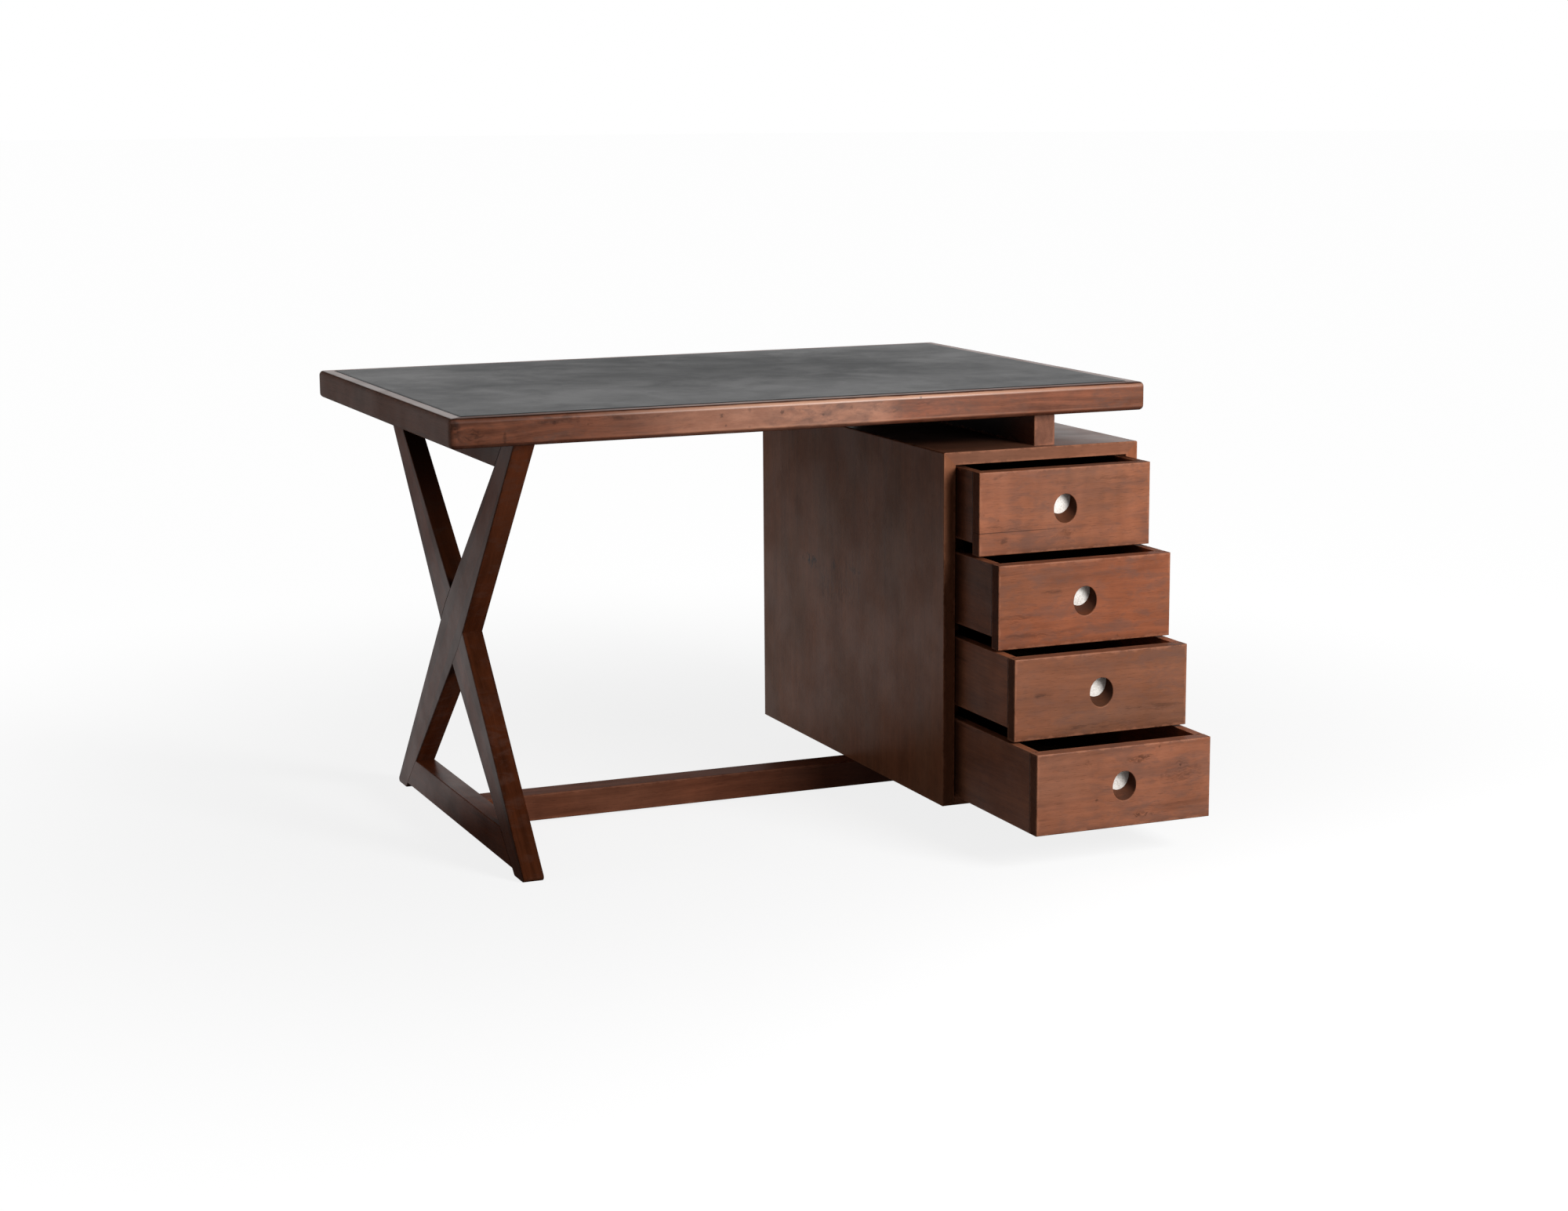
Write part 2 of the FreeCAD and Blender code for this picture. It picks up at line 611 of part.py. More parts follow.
def make_side(label, x, corners, inner_x, inward):
    """A side panel: its outline from the front, and its grooves on the inner face."""
    body = piece(label, x, PEDESTAL_Y, "size.base_height")
    pad(body, "panel", "XZ_Plane", corners, PEDESTAL_DEPTH, reverse=True)
    front_arris(body)
    groove_x = f"{inner_x} - size.panel_tongue_depth - {FIT}" if inward == "+" else inner_x
    rebate_x = f"{inner_x} - size.back_rebate" if inward == "+" else inner_x
    groove = [f"size.panel_tongue_depth + {FIT}"]
    groove.append(f"{PEDESTAL_DEPTH} - size.panel_tongue_stop + {FIT}")
    groove.append(f"size.panel_tongue_thick + 2 * {FIT}")
    low = f"(size.bottom_thick - size.panel_tongue_thick) / 2 - {FIT}"
    block(body, "groove", groove, (groove_x, f"size.panel_tongue_stop - {FIT}", low), cut=True)
    rebate = ("size.back_rebate", "size.back_thick", f"{INNER_HEIGHT} + size.back_rebate")
    block(body, "rebate", rebate, (rebate_x, BACK_FACE, "0"), cut=True)
    hole_z = [f"({runner_low(n)} + {RUNNER_HEIGHT} / 2 - size.base_height)" for n in DRAWERS[:-1]]
    for row, z in enumerate(hole_z):
        for column, y in enumerate(RUNNER_SCREW_YS):
            depth = f"size.runner_screw_bite + {FIT}"
            at = (inner_x, f"{y} - {PEDESTAL_Y}", z)
            angle = -90 if inward == "+" else 90
            name = f"runner_hole_{row}_{column}"
            drill(body, name, hole_for("size.runner_screw"), depth, at, (0, 1, 0), angle)


def make_pedestal_top():
    body = piece("pedestal_top", PEDESTAL_X, PEDESTAL_Y, f"{PEDESTAL_TOP} - size.panel_thick")
    corners = [
        ("size.panel_thick", "0"),
        ("size.pedestal_width - size.panel_thick", "0"),
        (f"size.pedestal_width - {PANEL_BEND}", f"size.panel_thick - {PANEL_BEND}", "size.panel_round"),
        ("size.pedestal_width - size.panel_round", "size.panel_thick"),
        ("size.panel_round", "size.panel_thick", "size.panel_round"),
        (PANEL_BEND, f"size.panel_thick - {PANEL_BEND}"),
    ]
    pad(body, "panel", "XZ_Plane", corners, PEDESTAL_DEPTH, reverse=True)
    front_arris(body)
    rebate = (f"{INNER_WIDTH} + 2 * size.back_rebate", "size.back_thick", "size.back_rebate")
    block(body, "rebate", rebate, ("size.panel_thick - size.back_rebate", BACK_FACE, "0"), cut=True)
    for index, y in enumerate(SPACER_SCREW_YS):
        at = (f"{SPACER_MIDDLE_X} - {PEDESTAL_X}", f"{y} - {PEDESTAL_Y}", "0")
        through = "size.panel_thick"
        sunk_hole(body, f"screw_{index}", "size.spacer_screw", "size.spacer_screw_sink", through, at)


def make_pedestal_bottom():
    origin_x = f"({PEDESTAL_X} + size.panel_thick)"
    body = piece("pedestal_bottom", origin_x, PEDESTAL_Y, "size.base_height")
    block(body, "panel", (INNER_WIDTH, BACK_FACE, "size.bottom_thick"))
    ease(body, "arris", "size.panel_arris", lambda edge: lies_at(edge, "y", "0") and runs_along(edge, "x"))
    tongue = [f"{INNER_WIDTH} + 2 * size.panel_tongue_depth"]
    tongue.append(f"{BACK_FACE} - size.panel_tongue_stop")
    tongue.append("size.panel_tongue_thick")
    low = "(size.bottom_thick - size.panel_tongue_thick) / 2"
    block(body, "tongues", tongue, ("-size.panel_tongue_depth", "size.panel_tongue_stop", low))
    for index, y in enumerate(FOOT_SCREW_YS):
        at = (f"{FOOT_BAR_MIDDLE_X} - {origin_x}", f"{y} - {PEDESTAL_Y}", "0")
        depth = f"size.foot_screw_bite + {FIT}"
        drill_up(body, f"screw_hole_{index}", hole_for("size.foot_screw"), depth, at)


def make_pedestal_back():
    inset = f"(size.panel_thick - size.back_rebate + {FIT})"
    origin_y = f"{PEDESTAL_Y} + {BACK_FACE}"
    body = piece("pedestal_back", f"{PEDESTAL_X} + {inset}", origin_y, "size.base_height")
    lengths = [f"size.pedestal_width - 2 * {inset}", "size.back_thick"]
    lengths.append(f"{INNER_HEIGHT} + size.back_rebate - {FIT}")
    block(body, "panel", lengths)


def make_spacer():
    origin_y = f"({PEDESTAL_Y} + size.spacer_setback)"
    body = piece("spacer_rail", SPACER_X, origin_y, PEDESTAL_TOP)
    length = f"({PEDESTAL_DEPTH} - 2 * size.spacer_setback)"
    block(body, "rail", ("size.spacer_width", length, "size.spacer_height"))
    ease(body, "arris", "size.frame_arris", lambda edge: runs_along(edge, "z"))
    for index, y in enumerate(SPACER_SCREW_YS):
        at = ("size.spacer_width / 2", f"{y} - {origin_y}", "0")
        through = "size.spacer_height + size.overrun"
        drill_up(body, f"screw_{index}_hole", hole_for("size.spacer_screw"), through, at)


def make_runner(n, side):
    """A strip screwed to a side of the pedestal, which the lip of its drawer covers when shut."""
    x = INNER_LEFT if side == "left" else f"{INNER_RIGHT} - size.runner_width"
    body = piece(f"runner_{n}_{side}", x, RUNNER_Y, runner_low(n))
    block(body, "strip", ("size.runner_width", RUNNER_LENGTH, RUNNER_HEIGHT))
    for index, y in enumerate(RUNNER_SCREW_YS):
        face = "size.runner_width" if side == "left" else "0"
        at = (face, f"{y} - {RUNNER_Y}", f"{RUNNER_HEIGHT} / 2")
        turn = ((0, 1, 0), -90 if side == "left" else 90)
        drill(body, f"screw_sink_{index}", sink_for("size.runner_screw"), "size.runner_screw_sink", at, *turn)
        drill(body, f"screw_hole_{index}", hole_for("size.runner_screw"), "size.runner_width", at, *turn)


left_corners = [
    ("0", "0"),
    ("size.panel_thick", "0"),
    ("size.panel_thick", INNER_HEIGHT),
    (PANEL_BEND, f"{PEDESTAL_HEIGHT} - {PANEL_BEND}", "size.panel_round"),
    ("0", f"{PEDESTAL_HEIGHT} - size.panel_round"),
]
right_corners = [
    ("0", "0"),
    ("size.panel_thick", "0"),
    ("size.panel_thick", f"{PEDESTAL_HEIGHT} - size.panel_round", "size.panel_round"),
    (f"size.panel_thick - {PANEL_BEND}", f"{PEDESTAL_HEIGHT} - {PANEL_BEND}"),
    ("0", INNER_HEIGHT),
]
make_side("pedestal_left_side", PEDESTAL_X, left_corners, "size.panel_thick", "+")
make_side("pedestal_right_side", f"{RIGHT} - size.panel_thick", right_corners, "0", "-")
make_pedestal_top()
make_pedestal_bottom()
make_pedestal_back()
make_spacer()
SPACER_SCREW_SEAT = f"({PEDESTAL_TOP} - size.panel_thick + size.spacer_screw_sink)"
SPACER_SCREW_LENGTH = f"{UNDERSIDE} + size.spacer_screw_bite - {SPACER_SCREW_SEAT}"
spacer_places = [((SPACER_MIDDLE_X, y, SPACER_SCREW_SEAT), UP) for y in SPACER_SCREW_YS]
screws("spacer_screws", "size.spacer_screw", SPACER_SCREW_LENGTH, spacer_places)

runner_places = []
for n in DRAWERS[:-1]:
    make_runner(n, "left")
    make_runner(n, "right")
    for y in RUNNER_SCREW_YS:
        z = f"{runner_low(n)} + {RUNNER_HEIGHT} / 2"
        runner_places.append(((f"{INNER_LEFT} + {RUNNER_SEAT}", y, z), FreeCAD.Vector(-1, 0, 0)))
        runner_places.append(((f"{INNER_RIGHT} - {RUNNER_SEAT}", y, z), FreeCAD.Vector(1, 0, 0)))
screws("runner_screws", "size.runner_screw", f"{RUNNER_SEAT} + size.runner_screw_bite", runner_places)


# Drawers: front with a slanted finger bore, sides tongued into it, back and bottom let into the sides

DRAWER_X = f"({INNER_LEFT} + size.side_clearance)"
DRAWER_WIDTH = f"({INNER_WIDTH} - 2 * size.side_clearance)"
DRAWER_LENGTH = f"({BACK_FACE} - size.rear_clearance)"
SIDE_LENGTH = f"({DRAWER_LENGTH} - size.front_thick)"
BOX_WIDTH = f"({DRAWER_WIDTH} - 2 * size.side_thick)"
DRAWER_BACK_Y = f"({SIDE_LENGTH} - size.drawer_back_inset - size.drawer_back_thick)"
BORE_SLOPE = "(size.bore_rise / size.front_thick)"
PLATE_HEIGHT = f"({PLATE_HEIGHT_SHARE} * {front_height(DRAWERS[-1])})"


def plate_screw_places(plate_low):
    """The plate's screws, as distances from the drawer's corner along X and Z."""
    across = "(size.plate_width / 2 - size.plate_screw_inset)"
    xs = [f"({DRAWER_WIDTH} / 2 {sign} {across})" for sign in "-+"]
    zs = [f"({plate_low} + size.plate_screw_inset)"]
    zs.append(f"({plate_low} + {PLATE_HEIGHT} - size.plate_screw_inset)")
    return [(x, z) for x in xs for z in zs]


def make_front(n, origin, height, lip, plate_low):
    body = piece(f"drawer_{n}_front", *origin)
    block(body, "board", (DRAWER_WIDTH, "size.front_thick", height))
    ease(body, "arris", "size.front_arris", lambda edge: lies_at(edge, "y", "0"))
    width = f"(size.side_tongue_thick + 2 * {FIT})"
    depth = f"(size.side_tongue_depth + {FIT})"
    start = f"(size.side_thick - size.side_tongue_thick - {FIT})"
    for name, x in (("left", start), ("right", f"{DRAWER_WIDTH} - {start} - {width}")):
        corner = (x, f"size.front_thick - {depth}", f"{lip} - {FIT}")
        block(body, f"{name}_groove", (width, depth, f"{height} - {lip} + 2 * {FIT}"), corner, cut=True)
    groove = [f"{BOX_WIDTH} + 2 * size.bottom_groove_depth"]
    groove.append(f"size.bottom_groove_depth + {FIT}")
    groove.append(f"size.drawer_bottom_thick + 2 * {FIT}")
    corner = ["size.side_thick - size.bottom_groove_depth"]
    corner.append(f"size.front_thick - size.bottom_groove_depth - {FIT}")
    corner.append(f"{lip} + size.drawer_bottom_lift - {FIT}")
    block(body, "bottom_groove", groove, corner, cut=True)
    ahead = "(size.overrun + size.finger_bore)"
    start = (f"{DRAWER_WIDTH} / 2", f"-{ahead}", f"{height} / 2 - {ahead} * {BORE_SLOPE}")
    bore_length = f"(size.front_thick + 2 * {ahead}) * sqrt(1 + {BORE_SLOPE} ^ 2)"
    tilt = math.degrees(math.atan(number(BORE_SLOPE))) - 90
    drill(body, "finger_bore", "size.finger_bore", bore_length, start, (1, 0, 0), tilt)
    ease(body, "rim", "size.bore_rim", lambda edge: lies_at(edge, "y", "0") and is_curved(edge))
    for index, (x, z) in enumerate(plate_screw_places(plate_low)):
        at = (x, "size.front_thick", z)
        depth = f"size.plate_screw_bite + {FIT}"
        drill(body, f"screw_hole_{index}", hole_for("size.plate_screw"), depth, at, (1, 0, 0), 90)


def make_drawer_side(n, side, origin, height):
    """A side board; on the left its inner face is the high one in X, on the right the low one."""
    body = piece(f"drawer_{n}_{side}_side", *origin)
    block(body, "board", ("size.side_thick", SIDE_LENGTH, height))

    def top_edge(edge):
        return lies_at(edge, "z", height) and runs_along(edge, "y")

    ease(body, "arris", "size.side_arris", top_edge)

    def inner(depth):
        return f"size.side_thick - {depth}" if side == "left" else "0"

    tongue = ("size.side_tongue_thick", "size.side_tongue_depth", height)
    block(body, "tongue", tongue, (inner("size.side_tongue_thick"), "-size.side_tongue_depth", "0"))
    groove = ["size.bottom_groove_depth", f"{SIDE_LENGTH} + size.side_tongue_depth"]
    groove.append(f"size.drawer_bottom_thick + 2 * {FIT}")
    low = f"size.drawer_bottom_lift - {FIT}"
    corner = (inner("size.bottom_groove_depth"), "-size.side_tongue_depth", low)
    block(body, "bottom_groove", groove, corner, cut=True)
    dado = ("size.dado_depth", f"size.drawer_back_thick + 2 * {FIT}", height)
    corner = (inner("size.dado_depth"), f"{DRAWER_BACK_Y} - {FIT}", low)
    block(body, "back_dado", dado, corner, cut=True)


def make_pull_plate(n, x, y, z):
    body = piece(f"drawer_{n}_pull_plate", x, y, z)
    block(body, "sheet", ("size.plate_width", "size.plate_thick", PLATE_HEIGHT))
    ease(body, "corners", "size.plate_corner", lambda edge: runs_along(edge, "y"))
    inset = "size.plate_screw_inset"
    for row, z_hole in enumerate((inset, f"{PLATE_HEIGHT} - {inset}")):
        for column, x_hole in enumerate((inset, f"size.plate_width - {inset}")):
            at = (x_hole, "0", z_hole)
            name = f"screw_hole_{row}_{column}"
            drill(body, name, hole_for("size.plate_screw"), "size.plate_thick", at, (1, 0, 0), -90)


def make_drawer(n):
    y = f"({PEDESTAL_Y} - size.drawer_open_{n})"
    z = front_low(n)
    height = front_height(n)
    lip = "0" if n == DRAWERS[-1] else "size.lip_height"
    box_y = f"({y} + size.front_thick)"
    box_z = f"({z} + {lip})"
    side_height = f"({height} - {lip})"
    plate_low = f"({height} / 2 + size.bore_rise - {PLATE_HEIGHT} / 2)"
    make_front(n, (DRAWER_X, y, z), height, lip, plate_low)
    make_drawer_side(n, "left", (DRAWER_X, box_y, box_z), side_height)
    right_x = f"{DRAWER_X} + {DRAWER_WIDTH} - size.side_thick"
    make_drawer_side(n, "right", (right_x, box_y, box_z), side_height)

    inner_x = f"({DRAWER_X} + size.side_thick)"
    floor_z = f"({box_z} + size.drawer_bottom_lift)"
    back = piece(f"drawer_{n}_back", f"{inner_x} - size.dado_depth + {FIT}", f"{box_y} + {DRAWER_BACK_Y}",
                 f"{floor_z} + size.drawer_bottom_thick")
    back_low = "(size.drawer_bottom_lift + size.drawer_bottom_thick)"
    back_height = f"{side_height} - {back_low} - size.drawer_back_drop"
    back_width = f"{BOX_WIDTH} + 2 * (size.dado_depth - {FIT})"
    block(back, "board", (back_width, "size.drawer_back_thick", back_height))

    bottom = piece(f"drawer_{n}_bottom", f"{inner_x} - size.bottom_groove_depth + {FIT}",
                   f"{box_y} - size.bottom_groove_depth", floor_z)
    bottom_length = f"{DRAWER_BACK_Y} + size.drawer_back_thick + size.bottom_groove_depth"
    bottom_width = f"{BOX_WIDTH} + 2 * (size.bottom_groove_depth - {FIT})"
    block(bottom, "sheet", (bottom_width, bottom_length, "size.drawer_bottom_thick"))

    plate_x = f"{DRAWER_X} + ({DRAWER_WIDTH} - size.plate_width) / 2"
    make_pull_plate(n, plate_x, box_y, f"{z} + {plate_low}")
    screw_places = []
    for x_step, z_step in plate_screw_places(plate_low):
        seat = (f"{DRAWER_X} + {x_step}", f"{box_y} + size.plate_thick", f"{z} + {z_step}")
        screw_places.append((seat, FreeCAD.Vector(0, -1, 0)))
    length = "size.plate_thick + size.plate_screw_bite"
    screws(f"drawer_{n}_pull_screws", "size.plate_screw", length, screw_places)


for n in DRAWERS:
    make_drawer(n)

doc.recompute()
for thing in doc.Objects:
    if {"Invalid", "Error"} & set(thing.State):
        raise RuntimeError(f"{thing.Label} did not build: {thing.State}")
for thing in pieces:
    if thing.Shape.isNull() or not thing.Shape.isValid():
        raise RuntimeError(f"{thing.Label} has no valid shape")

os.makedirs("parts", exist_ok=True)
for thing in pieces:
    thing.Shape.exportStep(f"parts/{thing.Label}.step")
    print(thing.Label, len(thing.Shape.Solids), round(thing.Shape.Volume))
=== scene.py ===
import math

import bpy
import numpy as np
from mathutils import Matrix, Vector


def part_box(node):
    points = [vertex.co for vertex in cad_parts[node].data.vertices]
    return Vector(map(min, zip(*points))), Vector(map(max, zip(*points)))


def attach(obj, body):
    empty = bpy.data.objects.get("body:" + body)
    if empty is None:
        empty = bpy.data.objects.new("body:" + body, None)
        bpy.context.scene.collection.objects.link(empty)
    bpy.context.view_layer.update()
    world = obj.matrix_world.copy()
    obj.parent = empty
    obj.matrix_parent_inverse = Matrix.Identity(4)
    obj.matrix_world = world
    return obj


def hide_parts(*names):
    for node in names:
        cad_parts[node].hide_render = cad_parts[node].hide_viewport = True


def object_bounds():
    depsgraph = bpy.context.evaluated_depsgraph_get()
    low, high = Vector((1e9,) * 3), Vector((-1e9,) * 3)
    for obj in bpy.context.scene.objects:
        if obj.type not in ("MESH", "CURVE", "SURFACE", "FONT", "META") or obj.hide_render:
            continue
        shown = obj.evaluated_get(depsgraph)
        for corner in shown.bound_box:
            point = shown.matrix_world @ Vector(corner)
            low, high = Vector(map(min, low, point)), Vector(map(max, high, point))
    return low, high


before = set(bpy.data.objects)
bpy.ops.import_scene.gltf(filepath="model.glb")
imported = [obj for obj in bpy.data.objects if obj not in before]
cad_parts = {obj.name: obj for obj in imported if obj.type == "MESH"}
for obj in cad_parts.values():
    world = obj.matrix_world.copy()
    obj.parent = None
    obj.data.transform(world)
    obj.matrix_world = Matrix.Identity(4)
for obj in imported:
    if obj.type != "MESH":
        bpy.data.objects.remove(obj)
cad_low, cad_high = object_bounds()


# Edge band of the top: four lengths of solid teak, mitred at the corners and
# tongued to the board inside. Oiled and rubbed, with softened arrises that years
# of use have knocked and paled, and along the front arris a painted highlight
# with lines of painted shade.
def stain(red, green, blue):
    """A colour as the eye reads it, 0 to 255, as the light it returns, by the sRGB curve."""
    share = np.array((red, green, blue)) / 255
    light = np.where(share <= 0.04045, share / 12.92, ((share + 0.055) / 1.055) ** 2.4)
    return (*(float(v) for v in light), 1.0)


def node(tree, kind, feeds=None, **settings):
    """One shader node, its settings, and its inputs by name or number: values or outputs."""
    made = tree.nodes.new("ShaderNode" + kind)
    for name, value in settings.items():
        setattr(made, name, value)
    for key, value in (feeds or {}).items():
        if isinstance(value, bpy.types.NodeSocket):
            tree.links.new(value, made.inputs[key])
        else:
            made.inputs[key].default_value = value
    return made


def maths(tree, operation, *values, clamp=False):
    """The result of one sum on values or outputs."""
    feeds = dict(enumerate(values))
    return node(tree, "Math", feeds, operation=operation, use_clamp=clamp).outputs[0]


def times(tree, product, *others):
    """Values or outputs multiplied, from left to right."""
    for value in others:
        product = maths(tree, "MULTIPLY", product, value)
    return product


def plus(tree, first, second):
    """Two values or outputs added."""
    return maths(tree, "ADD", first, second)


def minus(tree, first, second):
    """One value or output less another."""
    return maths(tree, "SUBTRACT", first, second)


def vectors(tree, operation, *values):
    """The result of one sum on places or directions, which for some sums is a number."""
    made = node(tree, "VectorMath", dict(enumerate(values)), operation=operation)
    to_number = operation in ("LENGTH", "DISTANCE", "DOT_PRODUCT")
    return made.outputs["Value" if to_number else "Vector"]


def stretch(tree, vector, *factors):
    """The place, stretched by its own factor along each axis."""
    return vectors(tree, "MULTIPLY", vector, factors)


X, Y, Z = 0, 1, 2


def axes(tree, vector):
    """The parts of a place or direction along x, y and z."""
    return node(tree, "SeparateXYZ", {0: vector}).outputs


def cloud(tree, vector, scale=1.0, detail=2.0, roughness=0.5, distortion=0.0, output=0):
    """Soft noise at a place: a value about a half, or a colour of three such values. A noise with
    a name is its scale, detail, roughness and distortion, in this order."""
    feeds = {"Vector": vector, "Scale": scale, "Detail": detail, "Roughness": roughness,
             "Distortion": distortion}
    return node(tree, "TexNoise", feeds).outputs[output]


def swing(tree, noise, amount):
    """Noise about a half, turned into a swing to both sides of zero."""
    return times(tree, minus(tree, noise, 0.5), amount)


def slope(tree, value, low, high, to_low=0.0, to_high=1.0, smooth=True):
    """A value carried from low..high to to_low..to_high, held at both ends. A slope with a name is
    these two or four numbers, in this order."""
    feeds = {0: value, 1: low, 2: high, 3: to_low, 4: to_high}
    kind = "SMOOTHSTEP" if smooth else "LINEAR"
    return node(tree, "MapRange", feeds, interpolation_type=kind).outputs[0]


def between(tree, value, rises, falls):
    """The product of two slopes of one value: a stretch of it that begins and ends softly."""
    return times(tree, slope(tree, value, *rises), slope(tree, value, *falls))


def tinted(tree, share, under, over, blend="MIX"):
    """One colour laid over another by a share."""
    made = node(tree, "Mix", {0: share, 6: under, 7: over}, data_type="RGBA", blend_type=blend)
    return made.outputs[2]


def bumps(tree, height, strength, distance):
    """The direction of a face, tilted by a height that varies over it."""
    feeds = {"Strength": strength, "Distance": distance, "Height": height}
    return node(tree, "Bump", feeds).outputs[0]


def new_group(name, inputs, outputs):
    """An empty node group with named inputs and outputs: its tree, its start and its end."""
    tree = bpy.data.node_groups.new(name, "ShaderNodeTree")
    for direction, sockets in (("INPUT", inputs), ("OUTPUT", outputs)):
        for socket, kind in sockets.items():
            tree.interface.new_socket(socket, in_out=direction, socket_type="NodeSocket" + kind)
    return tree, tree.nodes.new("NodeGroupInput").outputs, tree.nodes.new("NodeGroupOutput").inputs


def new_material(name):
    """An empty material, its tree, and the place on the piece that its nodes start from."""
    made = bpy.data.materials.new(name)
    made.use_nodes = True
    made.node_tree.nodes.clear()
    return made, made.node_tree, node(made.node_tree, "TexCoord").outputs["Object"]


def surface(tree, feeds):
    """The shader that a material ends in, with its inputs."""
    shader = node(tree, "BsdfPrincipled", feeds)
    node(tree, "OutputMaterial", {"Surface": shader.outputs[0]})


# How close each noise lies along the grain and across it, then detail, roughness, distortion.
GRAIN_NOISES = {
    "wander": (1.7, 8), "ring_shift": (3, 26), "ring_shown": (4, 11), "fibre": (16, 460, 3.0, 0.6),
    "line": (6, 150, 4.0, 0.65), "pore": (70, 1100, 1.0), "band": (1.8, 30, 3.0, 0.55),
    "patch": (10, 15, 3.0, 0.6), "cool": (3.5, 9), "streak": (3.6, 70, 3.0, 0.6, 0.4),
    "streak_shown": (5, 14), "ripple": (42, 10, 1.5)}
# Where a noise begins to show, and where it shows in full.
GRAIN_SHOWN = {"ring_shown": (0.40, 0.64), "pore": (0.60, 0.74), "cool": (0.42, 0.68),
               "streak": (0.55, 0.74), "streak_shown": (0.44, 0.66)}
# How far each part of the figure moves the tone, which runs from 0, dark, to 1, pale.
GRAIN_SWINGS = {"ring": 0.30, "ripple": 0.8, "fibre": 0.45, "line": 0.65, "band": 0.95,
                "patch": 1.0}
MIDDLE_TONE, HALF = 0.55, (0.5, 0.5, 0.5)
WANDER, RING_RADIANS, RING_SHIFT = 0.05, 430.0, 9.0
COOL_TINT, COOL_SHARE = (0.80, 0.92, 1.0, 1.0), 0.75
STREAK_STAIN, PORE_STAIN, PORE_SHARE = stain(48, 27, 21), stain(44, 24, 17), 0.3
DARK_ROUGH, PALE_ROUGH, PORE_ROUGH, FIBRE_HEIGHT = 0.62, 0.50, 0.2, 0.6


def teak_grain_group():
    """Teak figure at a place whose x runs along the grain.

    Growth rings are the sine of the distance from the heart line, wandering with slow noise and
    fading in and out. Fibres, lines, bands and pores are noises stretched along the grain, patches
    and cross ripple are not.
    """
    tree, taken, given = new_group(
        "teak_grain",
        {"Vector": "Vector", "Pale": "Color", "Dark": "Color", "Figure": "Float",
         "Streaks": "Float", "Ripple": "Float", "Fine": "Float", "Bands": "Float"},
        {"Color": "Color", "Roughness": "Float", "Height": "Float"})
    place = taken["Vector"]

    def noise(name, where, output=0):
        along, across, *rest = GRAIN_NOISES[name]
        return cloud(tree, stretch(tree, where, along, across, across), 1.0, *rest, output=output)

    def shown(name, where):
        return slope(tree, noise(name, where), *GRAIN_SHOWN[name])

    def swung(name, value):
        return swing(tree, value, GRAIN_SWINGS[name])

    wander = vectors(tree, "SUBTRACT", noise("wander", place, "Color"), HALF)
    bent = vectors(tree, "ADD", place, stretch(tree, wander, 0.0, WANDER, WANDER))
    _, across, deep = axes(tree, bent)
    apart = plus(tree, times(tree, across, across), times(tree, deep, deep))
    far = times(tree, maths(tree, "SQRT", apart), RING_RADIANS)
    far = plus(tree, far, times(tree, noise("ring_shift", bent), RING_SHIFT))
    ring = slope(tree, maths(tree, "SINE", far), -1.0, 1.0)
    fibre, pore = noise("fibre", bent), shown("pore", place)

    rings = times(tree, swung("ring", ring), shown("ring_shown", place), taken["Figure"])
    ripples = times(tree, swung("ripple", noise("ripple", place)), taken["Ripple"])
    threads = plus(tree, swung("fibre", fibre), swung("line", noise("line", bent)))
    fine = times(tree, threads, taken["Fine"])
    bands = times(tree, swung("band", noise("band", bent)), taken["Bands"])
    broad = plus(tree, bands, swung("patch", noise("patch", place)))
    tone = plus(tree, plus(tree, fine, broad), plus(tree, rings, ripples))
    tone = maths(tree, "ADD", tone, MIDDLE_TONE, clamp=True)
    colour = tinted(tree, tone, taken["Dark"], taken["Pale"])
    cool = axes(tree, noise("cool", place, "Color"))[Y]
    cool = slope(tree, cool, *GRAIN_SHOWN["cool"], 0.0, COOL_SHARE)
    colour = tinted(tree, cool, colour, COOL_TINT, "MULTIPLY")
    streak = times(tree, shown("streak", bent), shown("streak_shown", place), taken["Streaks"])
    colour = tinted(tree, streak, colour, STREAK_STAIN)
    colour = tinted(tree, times(tree, pore, PORE_SHARE), colour, PORE_STAIN)
    tree.links.new(colour, given["Color"])
    rough = slope(tree, tone, 0.0, 1.0, DARK_ROUGH, PALE_ROUGH, smooth=False)
    rough = plus(tree, rough, times(tree, pore, PORE_ROUGH))
    tree.links.new(rough, given["Roughness"])
    height = minus(tree, times(tree, fibre, FIBRE_HEIGHT), pore)
    tree.links.new(height, given["Height"])
    return tree


def to_faces(tree, place, low, high):
    """How far a place in a box is from the nearer of its two faces, along x, y and z."""
    from_low = vectors(tree, "SUBTRACT", place, low)
    from_high = vectors(tree, "SUBTRACT", high, place)
    return axes(tree, vectors(tree, "MINIMUM", from_low, from_high))


WEAR_NOISE, WEAR_REACH = (38.0, 4.0, 0.65), (0.36, 0.66, 0.15, 1.7)


def arris_wear_group():
    """How worn a place is: 1 on an arris, 0 a few millimetres away, broken up by noise.

    The arris of a block is where the second smallest of the three distances to its faces is zero.
    """
    tree, taken, given = new_group(
        "arris_wear", {"Vector": "Vector", "Low": "Vector", "High": "Vector", "Width": "Float"},
        {"Mask": "Float"})
    x, y, z = to_faces(tree, taken["Vector"], taken["Low"], taken["High"])
    least, most = maths(tree, "MINIMUM", x, y), maths(tree, "MAXIMUM", x, y)
    second = maths(tree, "MAXIMUM", least, maths(tree, "MINIMUM", most, z))
    ragged = cloud(tree, taken["Vector"], *WEAR_NOISE)
    reach = times(tree, taken["Width"], slope(tree, ragged, *WEAR_REACH))
    mask = maths(tree, "SUBTRACT", 1.0, maths(tree, "DIVIDE", second, reach), clamp=True)
    tree.links.new(mask, given["Mask"])
    return tree


